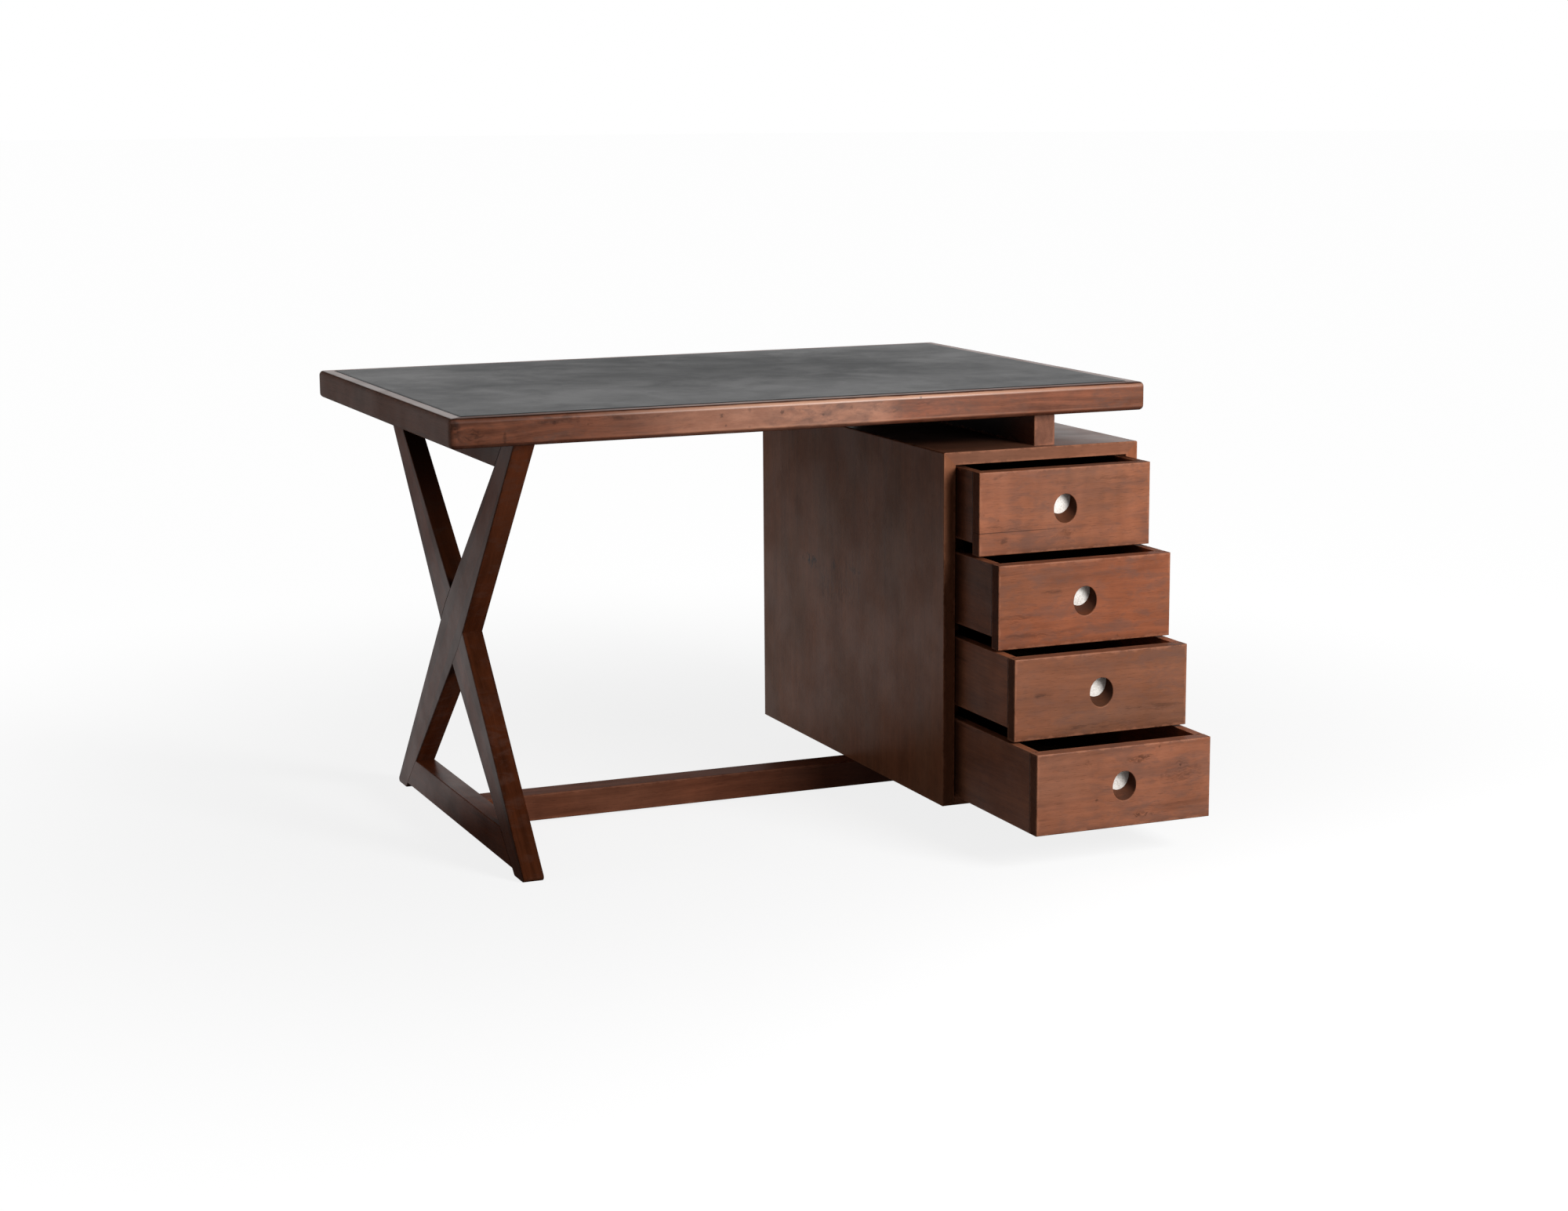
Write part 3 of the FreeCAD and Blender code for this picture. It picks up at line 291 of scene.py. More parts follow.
KNOCK_SHAKE, KNOCK_NOISE = (0.006, 0.006, 0.006), (160.0, 1.0)
KNOCK_DOT, KNOCK_CHOSEN = (0.10, 0.03), (0.80, 0.92)


def knocks_group():
    """Small dents with dirt in them: dots in a few of the cells of a random pattern."""
    tree, taken, given = new_group(
        "knocks", {"Vector": "Vector", "Scale": "Float"}, {"Mask": "Float"})
    shaken = cloud(tree, taken["Vector"], *KNOCK_NOISE, output="Color")
    shaken = vectors(tree, "MULTIPLY_ADD", shaken, KNOCK_SHAKE, taken["Vector"])
    cells = node(tree, "TexVoronoi", {"Vector": shaken, "Scale": taken["Scale"]}).outputs
    dot = slope(tree, cells["Distance"], *KNOCK_DOT)
    chosen = slope(tree, axes(tree, cells["Color"])[X], *KNOCK_CHOSEN)
    tree.links.new(times(tree, dot, chosen), given["Mask"])
    return tree


teak_grain = teak_grain_group()
arris_wear = arris_wear_group()
knocks = knocks_group()
GRAIN_TURNS = {"x": (0.0, 0.0, 0.0), "y": (0.0, 0.0, -math.pi / 2), "z": (0.0, math.pi / 2, 0.0)}
GRAIN_AXES = {"x": (1.0, 0.0, 0.0), "y": (0.0, 1.0, 0.0), "z": (0.0, 0.0, 1.0)}
TEAK_PALE, TEAK_DARK = stain(172, 107, 76), stain(118, 70, 48)
# The dark tint is real dirt in knocks, smears, dents and joints, and painted shade where it darkens
# the stretcher, the pedestal's front edge, the drawer sides and the bore walls.
WORN_TEAK, DIRT_AND_SHADE, END_GRAIN = stain(186, 124, 94), stain(34, 20, 15), stain(74, 42, 29)
WEAR_WIDTH, PAST_THE_ENDS, KNOCK_DEPTH = 0.0042, 9.0, 2.5
GRAIN_BUMP = {"strength": 0.2, "distance": 0.0005}
WAX_ROUGH, WAX_NOISE, WAX_UNEVEN = 0.34, (9.0, 3.0, 0.6), (0.30, 0.70, 0.8, 1.2)
# How squarely a face looks along the grain to be end grain, and how far it looks upwards to be
# level, or to be turning over to the top.
END_ON, LOOKS_UP, TURN_STARTS, TURN_ENDS = (0.75, 0.95), (0.90, 0.99), (0.03, 0.25), (0.75, 0.45)


def teak(piece, along, heart, pale=TEAK_PALE, dark=TEAK_DARK, figure=1.0, streaks=0.5, ripple=0.2,
         fine=1.0, bands=1.0, wear=0.5, worn_to=WORN_TEAK, dirt=0.6, knock_scale=26.0, lean=None,
         polish=(0.2, 0.1, 0.2), handled=0.0, fade=None, marks=(), ends=0.5):
    """Oiled and waxed teak for one node, its grain along an axis or along a leg's lean.

    heart is where the heart of the log lay from the piece, and lean a leg's angle from the Y axis
    with the length of its foot. Wax is a coat whose weight varies: polish is its weight on faces to
    the side, to the front and upwards, handled what hands have added to it where a face begins to
    turn over to the top, and fade a function of the tree and the place that takes it away. marks
    are functions of the tree, the place and the colour that add something to the colour. ends is
    how far the end grain has drunk the oil and darkened.
    """
    made, tree, place = new_material("teak_" + piece)
    low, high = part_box(piece)
    if lean:
        angle, foot = lean
        turn, axis = (-angle, 0.0, -math.pi / 2), (0.0, math.cos(angle), math.sin(angle))
        middle, half = (low + high) / 2, foot * abs(math.sin(angle)) / 2
        off = middle.z * math.cos(angle) - middle.y * math.sin(angle) + heart[Z]
        low, high = ((-PAST_THE_ENDS, heart[Y] - high.x, off - half),
                     (PAST_THE_ENDS, heart[Y] - low.x, off + half))
    else:
        turn, axis = GRAIN_TURNS[along], GRAIN_AXES[along]
    lain = node(tree, "Mapping", {"Vector": place, "Rotation": turn, "Location": heart}).outputs[0]
    grain = node(tree, "Group", {
        "Vector": lain, "Pale": pale, "Dark": dark, "Figure": figure, "Streaks": streaks,
        "Ripple": ripple, "Fine": fine, "Bands": bands}, node_tree=teak_grain).outputs
    colour = grain["Color"]
    for mark in marks:
        colour = mark(tree, place, colour)

    facing = node(tree, "NewGeometry").outputs["Normal"]
    end_on = maths(tree, "ABSOLUTE", vectors(tree, "DOT_PRODUCT", facing, axis))
    drunk = times(tree, slope(tree, end_on, *END_ON), ends)
    colour = tinted(tree, drunk, colour, END_GRAIN)
    worn = node(tree, "Group", {
        "Vector": lain if lean else place, "Low": low, "High": high, "Width": WEAR_WIDTH},
        node_tree=arris_wear).outputs["Mask"]
    colour = tinted(tree, times(tree, worn, wear), colour, worn_to)
    knocked = node(tree, "Group", {"Vector": place, "Scale": knock_scale}, node_tree=knocks)
    knocked = knocked.outputs["Mask"]
    colour = tinted(tree, times(tree, knocked, dirt), colour, DIRT_AND_SHADE)
    relief = minus(tree, grain["Height"], times(tree, knocked, KNOCK_DEPTH))

    to_side, to_front, upwards = polish
    turned = vectors(tree, "MULTIPLY", facing, facing)
    wax = vectors(tree, "DOT_PRODUCT", turned, (to_side, to_front, 0.0))
    rise = axes(tree, facing)[Z]
    wax = plus(tree, wax, slope(tree, rise, *LOOKS_UP, 0.0, upwards))
    if handled:
        wax = plus(tree, wax, between(tree, rise, (*TURN_STARTS, 0.0, handled), TURN_ENDS))
    uneven = slope(tree, cloud(tree, place, *WAX_NOISE), *WAX_UNEVEN)
    wax = maths(tree, "MULTIPLY", wax, uneven, clamp=True)
    wax = times(tree, wax, minus(tree, 1.0, drunk))
    if fade:
        wax = times(tree, wax, fade(tree, place))
    surface(tree, {
        "Base Color": colour, "Roughness": grain["Roughness"],
        "Normal": bumps(tree, relief, **GRAIN_BUMP), "Specular IOR Level": 0.0,
        "Coat Weight": wax, "Coat Roughness": WAX_ROUGH})
    return made


def finish_with(piece, material):
    """Gives a node of the frame its finish, in every slot its mesh has."""
    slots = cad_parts[piece].data.materials
    for number in range(len(slots)):
        slots[number] = material
    if not len(slots):
        slots.append(material)


def in_teak(piece, along, heart, **look):
    """Gives a node of the frame a teak finish of its own."""
    finish_with(piece, teak(piece, along, heart, **look))


SOFT_EDGE = (1.0, 0.25)
SMEAR_WAVES, SMEAR_NOISE, SMEAR_SHOWN = 70.0, (1.0, 3.0, 0.6), (0.40, 0.62)
EDGE_SWIRL, LINE_SWIRL = 2.0, 0.02


def smear(centre, reach, strength, lines, swirl):
    """A dark mark in the wood: fine lines along the grain, shown inside an ellipsoid whose edge
    wanders. lines is how close they lie along x, y and z, swirl how far edge and lines wander."""
    def mark(tree, place, colour):
        wave = vectors(tree, "SUBTRACT", cloud(tree, place, SMEAR_WAVES, output="Color"), HALF)
        off = vectors(tree, "SUBTRACT", place, centre)
        off = stretch(tree, off, *(1 / size for size in reach))
        off = vectors(tree, "MULTIPLY_ADD", wave, (EDGE_SWIRL * swirl,) * 3, off)
        inside = slope(tree, vectors(tree, "LENGTH", off), *SOFT_EDGE)
        threads = vectors(tree, "MULTIPLY_ADD", wave, (LINE_SWIRL * swirl,) * 3, place)
        threads = cloud(tree, stretch(tree, threads, *lines), *SMEAR_NOISE)
        share = times(tree, inside, slope(tree, threads, *SMEAR_SHOWN), strength)
        return tinted(tree, share, colour, DIRT_AND_SHADE)
    return mark


def front_smears(y, rows):
    """Smears on a face to the front at y: rows of x, z, reach in x, reach in z, strength, how close
    the lines lie along the grain and across it, and swirl."""
    return [smear((x, y, z), (wide, 1.0, high), strength, (along, along, across), swirl)
            for x, z, wide, high, strength, along, across, swirl in rows]


DENT_NOISE, DENT_RAGGED = 320.0, 1.4


def dent(centre, reach, strength):
    """A small knock with dirt in it: a dark dot, ragged, that fades out over its reach."""
    def mark(tree, place, colour):
        off = stretch(tree, vectors(tree, "SUBTRACT", place, centre), 1 / reach, 0.0, 1 / reach)
        ragged = swing(tree, cloud(tree, place, DENT_NOISE), DENT_RAGGED)
        far = plus(tree, vectors(tree, "LENGTH", off), ragged)
        return tinted(tree, slope(tree, far, *SOFT_EDGE, 0.0, strength), colour, DIRT_AND_SHADE)
    return mark


BLOOM, BLOOM_CLOSE, BLOOM_NOISE = stain(104, 76, 66), (17, 17, 42), (1.0, 4.0, 0.62, 0.5)
BLOOM_SHOWN, BLOOM_WIDE_CLOSE, BLOOM_WIDE_SHOWN = (0.46, 0.66), (6, 6, 6), (0.36, 0.58, 0.15)


def bloomed(strength, close=1.0):
    """Old damp in the polish: dull grey patches a few centimetres long, or closer, wandering along
    the grain."""
    def mark(tree, place, colour):
        patch = stretch(tree, place, *(size * close for size in BLOOM_CLOSE))
        patch = slope(tree, cloud(tree, patch, *BLOOM_NOISE), *BLOOM_SHOWN)
        wide = cloud(tree, stretch(tree, place, *BLOOM_WIDE_CLOSE))
        shown = times(tree, patch, slope(tree, wide, *BLOOM_WIDE_SHOWN, strength))
        return tinted(tree, shown, colour, BLOOM)
    return mark


DUSTY_TEAK, DUST_STARTS, DUST_ENDS = stain(198, 140, 112), (-0.35, -0.15, 0.0, 0.74), (0.18, 0.10)
DUST_CLOSE, DUST_NOISE, DUST_PATCHY = (22, 22, 60), (1.0, 4.0, 0.65), (0.3, 0.7, 0.5, 1.0)


def dusty_middle(tree, place, colour):
    """Wood rubbed pale and dusty along the middle, where arms lie, broken up by noise."""
    wide = between(tree, axes(tree, place)[X], DUST_STARTS, DUST_ENDS)
    patchy = cloud(tree, stretch(tree, place, *DUST_CLOSE), *DUST_NOISE)
    share = times(tree, wide, slope(tree, patchy, *DUST_PATCHY))
    return tinted(tree, share, colour, DUSTY_TEAK)


# The pale colour paints the lamp's highlight on the front arris, partly wear; the dark one paints
# the shade on the rounding above it and at the lower arris.
ARRIS_HIGHLIGHT, HIGHLIGHT_SHARE, ARRIS_SHADE, ARRIS_SHADE_SHARE = stain(224, 172, 143), 0.85, stain(62, 31, 21), 0.8
ARRIS_CLOSE, ARRIS_NOISE, ARRIS_WAVER = (30, 1, 160), (1.0, 3.0, 0.6), 0.002
HIGHLIGHT_STARTS, HIGHLIGHT_ENDS = (-0.50, 0.0), (0.62, 0.14, 0.3, 1.0)
STRIP_STARTS, STRIP_ENDS = (0.7548, 0.7594), (0.7628, 0.7613)
LINE_STARTS, LINE_ENDS = (0.7225, 0.7240), (0.7265, 0.7245, 0.0, 0.2)
UPPER_SHADE, LOWER_SHADE, OUTER_SIDE = (0.7613, 0.7628), (0.7232, 0.7205), (-0.2720, -0.2735)


def arris_highlight_and_shade(tree, place, colour):
    """The front arris: a pale strip along its length, strongest in the middle, partly wear and
    mostly a painted highlight of the lamp on the rounding, and a faint pale line over the lower
    arris painted the same way. Lines of painted shade lie above the strip, where it meets the top,
    and at the lower arris."""
    x, y, z = axes(tree, place)
    waver = swing(tree, cloud(tree, stretch(tree, place, *ARRIS_CLOSE), *ARRIS_NOISE), ARRIS_WAVER)
    height = plus(tree, z, waver)
    along = between(tree, x, HIGHLIGHT_STARTS, HIGHLIGHT_ENDS)
    strip = between(tree, height, STRIP_STARTS, STRIP_ENDS)
    line = between(tree, height, LINE_STARTS, LINE_ENDS)
    pale = times(tree, maths(tree, "MAXIMUM", strip, line), along, HIGHLIGHT_SHARE)
    colour = tinted(tree, pale, colour, ARRIS_HIGHLIGHT)
    outer = slope(tree, y, *OUTER_SIDE)
    upper = times(tree, slope(tree, height, *UPPER_SHADE), outer)
    lower = times(tree, slope(tree, height, *LOWER_SHADE), outer)
    shade_lines = times(tree, maths(tree, "MAXIMUM", upper, lower), ARRIS_SHADE_SHARE)
    return tinted(tree, shade_lines, colour, ARRIS_SHADE)


POLISH_DULLS = (-0.60, -0.15, 0.5, 1.0)
RED_TINT, RED_STARTS, RED_ENDS = (0.93, 0.83, 0.74, 1.0), (0.125, 0.175), (0.50, 0.28, 0.3, 1.0)


def dull_left(tree, place):
    """Polish that has gone dull towards the left end."""
    return slope(tree, axes(tree, place)[X], *POLISH_DULLS)


def redder_right(tree, place, colour):
    """A length of redder wood at the right of the board."""
    right = between(tree, axes(tree, place)[X], RED_STARTS, RED_ENDS)
    return tinted(tree, right, colour, RED_TINT, "MULTIPLY")


BAND_FRONT = -0.28
FRONT_BAND_MARKS = (
    dusty_middle, bloomed(0.45), bloomed(0.5, 2.4), redder_right,
    *front_smears(BAND_FRONT, (
        (-0.50, 0.735, 0.16, 1.0, 0.3, 14, 40, 0.5),
        (-0.43, 0.755, 0.06, 0.010, 0.5, 30, 90, 0.9),
        (-0.34, 0.753, 0.05, 0.009, 0.45, 30, 90, 0.9),
        (-0.276, 0.748, 0.022, 0.008, 0.4, 40, 120, 0.9),
        (-0.526, 0.731, 0.004, 0.016, 0.6, 60, 60, 0.5),
        (0.46, 0.728, 0.16, 0.012, 0.3, 16, 60, 0.5))),
    # painted highlight and painted shade along the front arris
    arris_highlight_and_shade,
    *front_smears(BAND_FRONT, (
        (-0.606, 0.741, 0.013, 0.035, 0.85, 40, 60, 0.5),
        (-0.58, 0.738, 0.028, 0.018, 0.55, 60, 160, 0.9),
        (0.066, 0.7475, 0.018, 0.006, 0.3, 50, 160, 1.0),
        (0.14, 0.7395, 0.014, 0.006, 0.5, 50, 160, 1.0),
        (0.20, 0.7475, 0.035, 0.006, 0.4, 50, 200, 1.0))),
    *(dent((x, BAND_FRONT, z), reach, strength) for x, z, reach, strength in (
        (-0.163, 0.7466, 0.0048, 0.55), (-0.1145, 0.7537, 0.0045, 0.35),
        (-0.058, 0.7466, 0.0045, 0.5), (0.0146, 0.7390, 0.0032, 0.5),
        (-0.156, 0.7298, 0.003, 0.45), (-0.1155, 0.7258, 0.003, 0.2),
        (-0.012, 0.7545, 0.003, 0.2), (-0.027, 0.7478, 0.003, 0.2),
        (-0.0076, 0.7302, 0.007, 0.2), (0.190, 0.7580, 0.0028, 0.6),
        (-0.4445, 0.7496, 0.0045, 0.45))))
# The left band's darker stain is painted shade, for the face turned away from the main lamp.
BANDS = {"front": ("x", stain(160, 98, 72), stain(106, 63, 46)),
         "back": ("x", stain(160, 98, 72), stain(106, 63, 46)),
         "left": ("y", stain(126, 82, 64), stain(84, 55, 42)),
         "right": ("y", stain(150, 94, 70), stain(100, 62, 46))}
FRONT_BAND_LOOK = {"wear": 0.12, "polish": (0.2, 0.24, 0.62), "handled": 0.7, "fine": 1.5,
                   "fade": dull_left, "marks": FRONT_BAND_MARKS}
OTHER_BAND_LOOK = {"wear": 0.3, "polish": (0.17, 0.2, 0.95)}
for number, (side, (along, band_pale, band_dark)) in enumerate(BANDS.items()):
    in_teak(f"top_{side}_lipping", along, (0.31 * number, 0.30 + 0.05 * number, -0.70),
            pale=band_pale, dark=band_dark, streaks=0.55, dirt=0.75, ends=0.0,
            **(FRONT_BAND_LOOK if side == "front" else OTHER_BAND_LOOK))


# Board inside the edge band: a flat blockboard core, tongued into the lipping.
# Its upper face is covered by the leather, its underside is stained like the frame.
THIN_OIL = (0.1, 0.1, 0.1)
in_teak("top_core", "x", (0.4, 0.2, -0.55), pale=stain(128, 82, 58), dark=stain(88, 54, 39),
        streaks=0.25, wear=0.0, polish=THIN_OIL)


# Writing surface: one hide of dark grey leather, glued into a shallow rebate so that it
# stands a little proud of the band, its edge rolled down. Rubbed paler where arms and papers lay,
# with painted shade towards the front.
LEATHER_THICK, LEATHER_SWELL, EDGE_ROUND = 0.002, 0.00022, 0.0018
LEATHER_ROWS, LEATHER_COLUMNS = 150, 220
# Waves of the swell: how fast each turns along x and along y, and where it starts.
LEATHER_WAVES = ((7.1, 2.3, 0.0), (-3.1, 11.7, 1.0), (16.3, 9.1, 0.0))
LEATHER_DARK, LEATHER_PALE = stain(67, 68, 69), stain(81, 81, 81)
# The darker leather of the middle, also laid as painted shade towards the front.
UNRUBBED_AND_SHADE, PITS = stain(46, 47, 48), stain(40, 40, 41)
LEATHER_EDGE_DARK, SCUFFED = stain(20, 20, 21), stain(124, 123, 121)
SLOW_NOISE, SLOW_SHARE = (4.5, 5.0, 0.6, 0.4), 0.65
RUB_NOISE, RUB_SHARE = (17.0, 4.0, 0.62, 0.6), 0.35
TONE_SHOWN, TONE_ROUGH = (0.36, 0.64), (0.34, 0.66, 0.61, 0.49)
MIDDLE, MIDDLE_SPREAD, MIDDLE_EDGE = (0.0, 0.23, 0.765), (2.0, 3.0, 0.0), (1.1, 0.3)
MIDDLE_WANDER, MIDDLE_SHARE, MIDDLE_ROUGH = 1.2, 0.55, 0.12
FRONT_SHADE = (0.12, -0.20, 0.0, 0.3)
PEBBLES, PEBBLE_PITS, PEBBLE_HEIGHT = 620.0, (0.25, 0.75, 0.0, 0.22), -0.7
CREASE_NOISE, CREASE_HEIGHT = (240.0, 3.0, 0.6), 0.5
EDGE_DARKENS = (0.0045, 0.0022, 0.0, 0.95)
SCUFF_CLOSE, SCUFF_NOISE = (20, 90, 1), (1.0, 3.0, 0.7, 1.2)
SCUFF_SHOWN, SCUFF_SHARE = (0.60, 0.72), 0.16
LEATHER_BUMP, LEATHER_SHINE = {"strength": 0.35, "distance": 0.0004}, 0.3


def grid_mesh(name, points):
    """A mesh of four-cornered faces through a grid of points, rows by columns, faces upwards."""
    rows, columns = points.shape[:2]
    index = np.arange(rows * columns).reshape(rows, columns)
    faces = np.stack((index[:-1, :-1], index[:-1, 1:], index[1:, 1:], index[1:, :-1]), -1)
    mesh = bpy.data.meshes.new(name)
    mesh.from_pydata(points.reshape(-1, 3).tolist(), [], faces.reshape(-1, 4).tolist())
    mesh.polygons.foreach_set("use_smooth", np.ones(len(mesh.polygons), bool))
    mesh.update()
    return mesh


def leather_points(low, high):
    """The hide: x and y step evenly with closer steps at the edges, by a cosine; its height is the
    board's top less a slow swell of three sines, and less a quarter round along the edges."""
    across = (1 - np.cos(np.linspace(0, np.pi, LEATHER_COLUMNS))) / 2
    deep = (1 - np.cos(np.linspace(0, np.pi, LEATHER_ROWS))) / 2
    x, y = np.meshgrid(low.x + (high.x - low.x) * across, low.y + (high.y - low.y) * deep)
    swell = sum(np.sin(by_x * x + by_y * y + start) for by_x, by_y, start in LEATHER_WAVES)
    edge = np.minimum(np.minimum(x - low.x, high.x - x), np.minimum(y - low.y, high.y - y))
    bite = np.clip(1 - edge / EDGE_ROUND, 0, 1)
    turned = EDGE_ROUND * (1 - np.sqrt(1 - bite ** 2))
    z = high.z - LEATHER_SWELL * (0.5 + 0.5 * swell / len(LEATHER_WAVES)) - turned
    return np.stack((x, y, z), -1)


def leather_finish(low, high):
    """Dark grey leather: clouds of rubbing and old damp, a darker middle, painted shade darker
    towards the front, fine pebble grain, a darker edge, a few scuffs."""
    made, tree, place = new_material("leather")
    slow, rub = cloud(tree, place, *SLOW_NOISE), cloud(tree, place, *RUB_NOISE)
    mixed = plus(tree, times(tree, slow, SLOW_SHARE), times(tree, rub, RUB_SHARE))
    colour = tinted(tree, slope(tree, mixed, *TONE_SHOWN), LEATHER_DARK, LEATHER_PALE)
    off = stretch(tree, vectors(tree, "SUBTRACT", place, MIDDLE), *MIDDLE_SPREAD)
    off = plus(tree, vectors(tree, "LENGTH", off), swing(tree, slow, MIDDLE_WANDER))
    middle = slope(tree, off, *MIDDLE_EDGE)
    colour = tinted(tree, times(tree, middle, MIDDLE_SHARE), colour, UNRUBBED_AND_SHADE)
    # Painted shade: the leather darker towards the front.
    front = slope(tree, axes(tree, place)[Y], *FRONT_SHADE)
    colour = tinted(tree, front, colour, UNRUBBED_AND_SHADE)
    cells = node(tree, "TexVoronoi", {"Vector": place, "Scale": PEBBLES, "Randomness": 1.0})
    pebble = cells.outputs["Distance"]
    colour = tinted(tree, slope(tree, pebble, *PEBBLE_PITS), colour, PITS)
    to_x, to_y, _ = to_faces(tree, place, tuple(low), tuple(high))
    edge = slope(tree, maths(tree, "MINIMUM", to_x, to_y), *EDGE_DARKENS)
    colour = tinted(tree, edge, colour, LEATHER_EDGE_DARK)
    scuff = cloud(tree, stretch(tree, place, *SCUFF_CLOSE), *SCUFF_NOISE)
    scuff = times(tree, slope(tree, scuff, *SCUFF_SHOWN), SCUFF_SHARE)
    colour = tinted(tree, scuff, colour, SCUFFED)
    crease = times(tree, cloud(tree, place, *CREASE_NOISE), CREASE_HEIGHT)
    relief = plus(tree, times(tree, pebble, PEBBLE_HEIGHT), crease)
    rough = plus(tree, slope(tree, mixed, *TONE_ROUGH), times(tree, middle, MIDDLE_ROUGH))
    surface(tree, {
        "Base Color": colour, "Roughness": rough, "Normal": bumps(tree, relief, **LEATHER_BUMP),
        "Specular IOR Level": LEATHER_SHINE})
    return made


leather_low, leather_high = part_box("leather_inlay")
leather = bpy.data.objects.new("leather_writing_surface", grid_mesh(
    "leather_writing_surface", leather_points(leather_low, leather_high)))
bpy.context.scene.collection.objects.link(leather)
leather.data.materials.append(leather_finish(leather_low, leather_high))
hide = leather.modifiers.new("hide", "SOLIDIFY")
hide.thickness, hide.offset = LEATHER_THICK, -1.0
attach(leather, "desk")
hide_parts("leather_inlay")


# Crossed leg frame: two teak legs half-lapped where they cross, with a rail
# between their feet and one under the top, all tenoned. Darkened by handling.
LEG_PALE, LEG_DARK, LEG_FOOT = stain(114, 57, 32), stain(58, 26, 13), 0.055
# The tint that the legs turn towards near the top: paler and browner.
LEG_UPPER_TINT = stain(150, 84, 56)


def leg_lean(piece):
    """The angle of a leg from the Y axis: its rise over its run, which leaves out its foot."""
    low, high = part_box(piece)
    return math.atan2(high.z - low.z, high.y - low.y - LEG_FOOT)


MOP_LINE, MOP_FALL, MOP_LEAVES, WAX_UNDER_TOP = 0.02, 0.28, 0.08, (0.62, 0.30)


def mopped(full, share):
    """Wax lost to the mop: almost none below a line near the floor that falls towards the back,
    all of it well above the line, and only a share of it up under the top."""
    def fade(tree, place):
        _, y, z = axes(tree, place)
        above = plus(tree, z, times(tree, y, MOP_FALL))
        left = slope(tree, above, MOP_LINE, full, MOP_LEAVES, 1.0)
        return times(tree, left, slope(tree, z, *WAX_UNDER_TOP, share, 1.0))
    return fade


def changed_towards(axis, start, end, amount, tint=DIRT_AND_SHADE):
    """Wood whose colour changes along an axis towards a tint: paler towards the top of the legs,
    dirt at the foot of the drawer fronts, and painted shade on the stretcher, the pedestal's front
    edge and the drawer sides.
    """
    def mark(tree, place, colour):
        share = slope(tree, axes(tree, place)[axis], start, end, 0.0, amount)
        return tinted(tree, share, colour, tint)
    return mark


NEAR_BLACK, INNER_FACE = stain(14, 7, 4), (-0.3, -0.7)
INNER_SHADE_STARTS, INNER_SHADE_DEEPENS = (0.34, 0.38), (0.36, 0.66, 0.5, 0.95)


def inner_leg_shade(tree, place, colour):
    """Painted shade: the upper inner face of the leg that runs back under the top, laid near black
    where the top shades it.
    """
    inner = slope(tree, axes(tree, node(tree, "NewGeometry").outputs["Normal"])[Y], *INNER_FACE)
    z = axes(tree, place)[Z]
    share = times(tree, inner, slope(tree, z, *INNER_SHADE_DEEPENS), slope(tree, z, *INNER_SHADE_STARTS))
    return tinted(tree, share, colour, NEAR_BLACK)


leg_fade = mopped(0.14, 0.42)
leg_marks = (changed_towards(Z, 0.38, 0.68, 0.3, LEG_UPPER_TINT), bloomed(0.3, 1.6))
for leg, angle, more_marks in (
        ("cross_leg_rear_foot", math.pi - leg_lean("cross_leg_rear_foot"), ()),
        ("cross_leg_front_foot", leg_lean("cross_leg_front_foot"), (inner_leg_shade,))):
    in_teak(leg, None, (0.2, 0.46, 0.11), pale=LEG_PALE, dark=LEG_DARK, streaks=0.45, figure=0.5,
            wear=0.45, worn_to=DIRT_AND_SHADE, lean=(angle, LEG_FOOT), knock_scale=18.0,
            polish=(0.43, 0.06, 0.2), fade=leg_fade, marks=(*leg_marks, *more_marks))
for number, rail in enumerate(("cross_frame_foot_rail", "cross_frame_top_rail")):
    in_teak(rail, "y", (0.1, 0.52 + 0.1 * number, -0.3), pale=LEG_PALE, dark=LEG_DARK, streaks=0.5,
            wear=0.12, polish=(0.38, 0.06, 0.45), fade=leg_fade)


# Base: a bar along the floor from the foot rail to under the pedestal, tenoned into
# a cross bar that is screwed up into the pedestal.
# The stretcher's darkening towards the pedestal is painted shade of the pedestal.
in_teak("stretcher", "x", (0.5, -0.03, 0.12), pale=stain(160, 95, 68), dark=stain(104, 58, 40),
        streaks=0.5, wear=0.25, polish=(0.1, 0.1, 0.12),
        marks=(changed_towards(X, -0.30, 0.24, 0.45),))
in_teak("pedestal_foot", "y", (0.2, 0.4, 0.1), pale=LEG_PALE, dark=LEG_DARK, streaks=0.5,
        polish=(0.1, 0.06, 0.1))


# Pedestal: teak panels, the sides and top mitred at the upper corners, on a
# bottom panel, with a back let in behind. A spacer rail carries the writing top clear of it.
LEFT_FACE, LEFT_CLOSE = 0.245, 24
# A near-black colour for painted shade under the writing top.
UNDER_TOP_SHADE = stain(22, 12, 9)
BACK_UNDER_TOP, LEFT_OF_SPACER = (-0.26, -0.08, 0.12, 0.94), (0.455, 0.425)


def left_smear(y, z, deep, high, strength, across, swirl):
    """A smear on the left side: how far it reaches in y and z, its strength, how close its lines
    lie across the grain, and its swirl."""
    lines = (LEFT_CLOSE, across, LEFT_CLOSE)
    return smear((LEFT_FACE, y, z), (1.0, deep, high), strength, lines, swirl)


def shade_under_top(tree, place, colour):
    """Painted shade on the wood back under the writing top and left of the spacer, where the top
    and the spacer shade it.
    """
    x, y, _ = axes(tree, place)
    hidden = times(tree, slope(tree, y, *BACK_UNDER_TOP), slope(tree, x, *LEFT_OF_SPACER))
    return tinted(tree, hidden, colour, UNDER_TOP_SHADE)


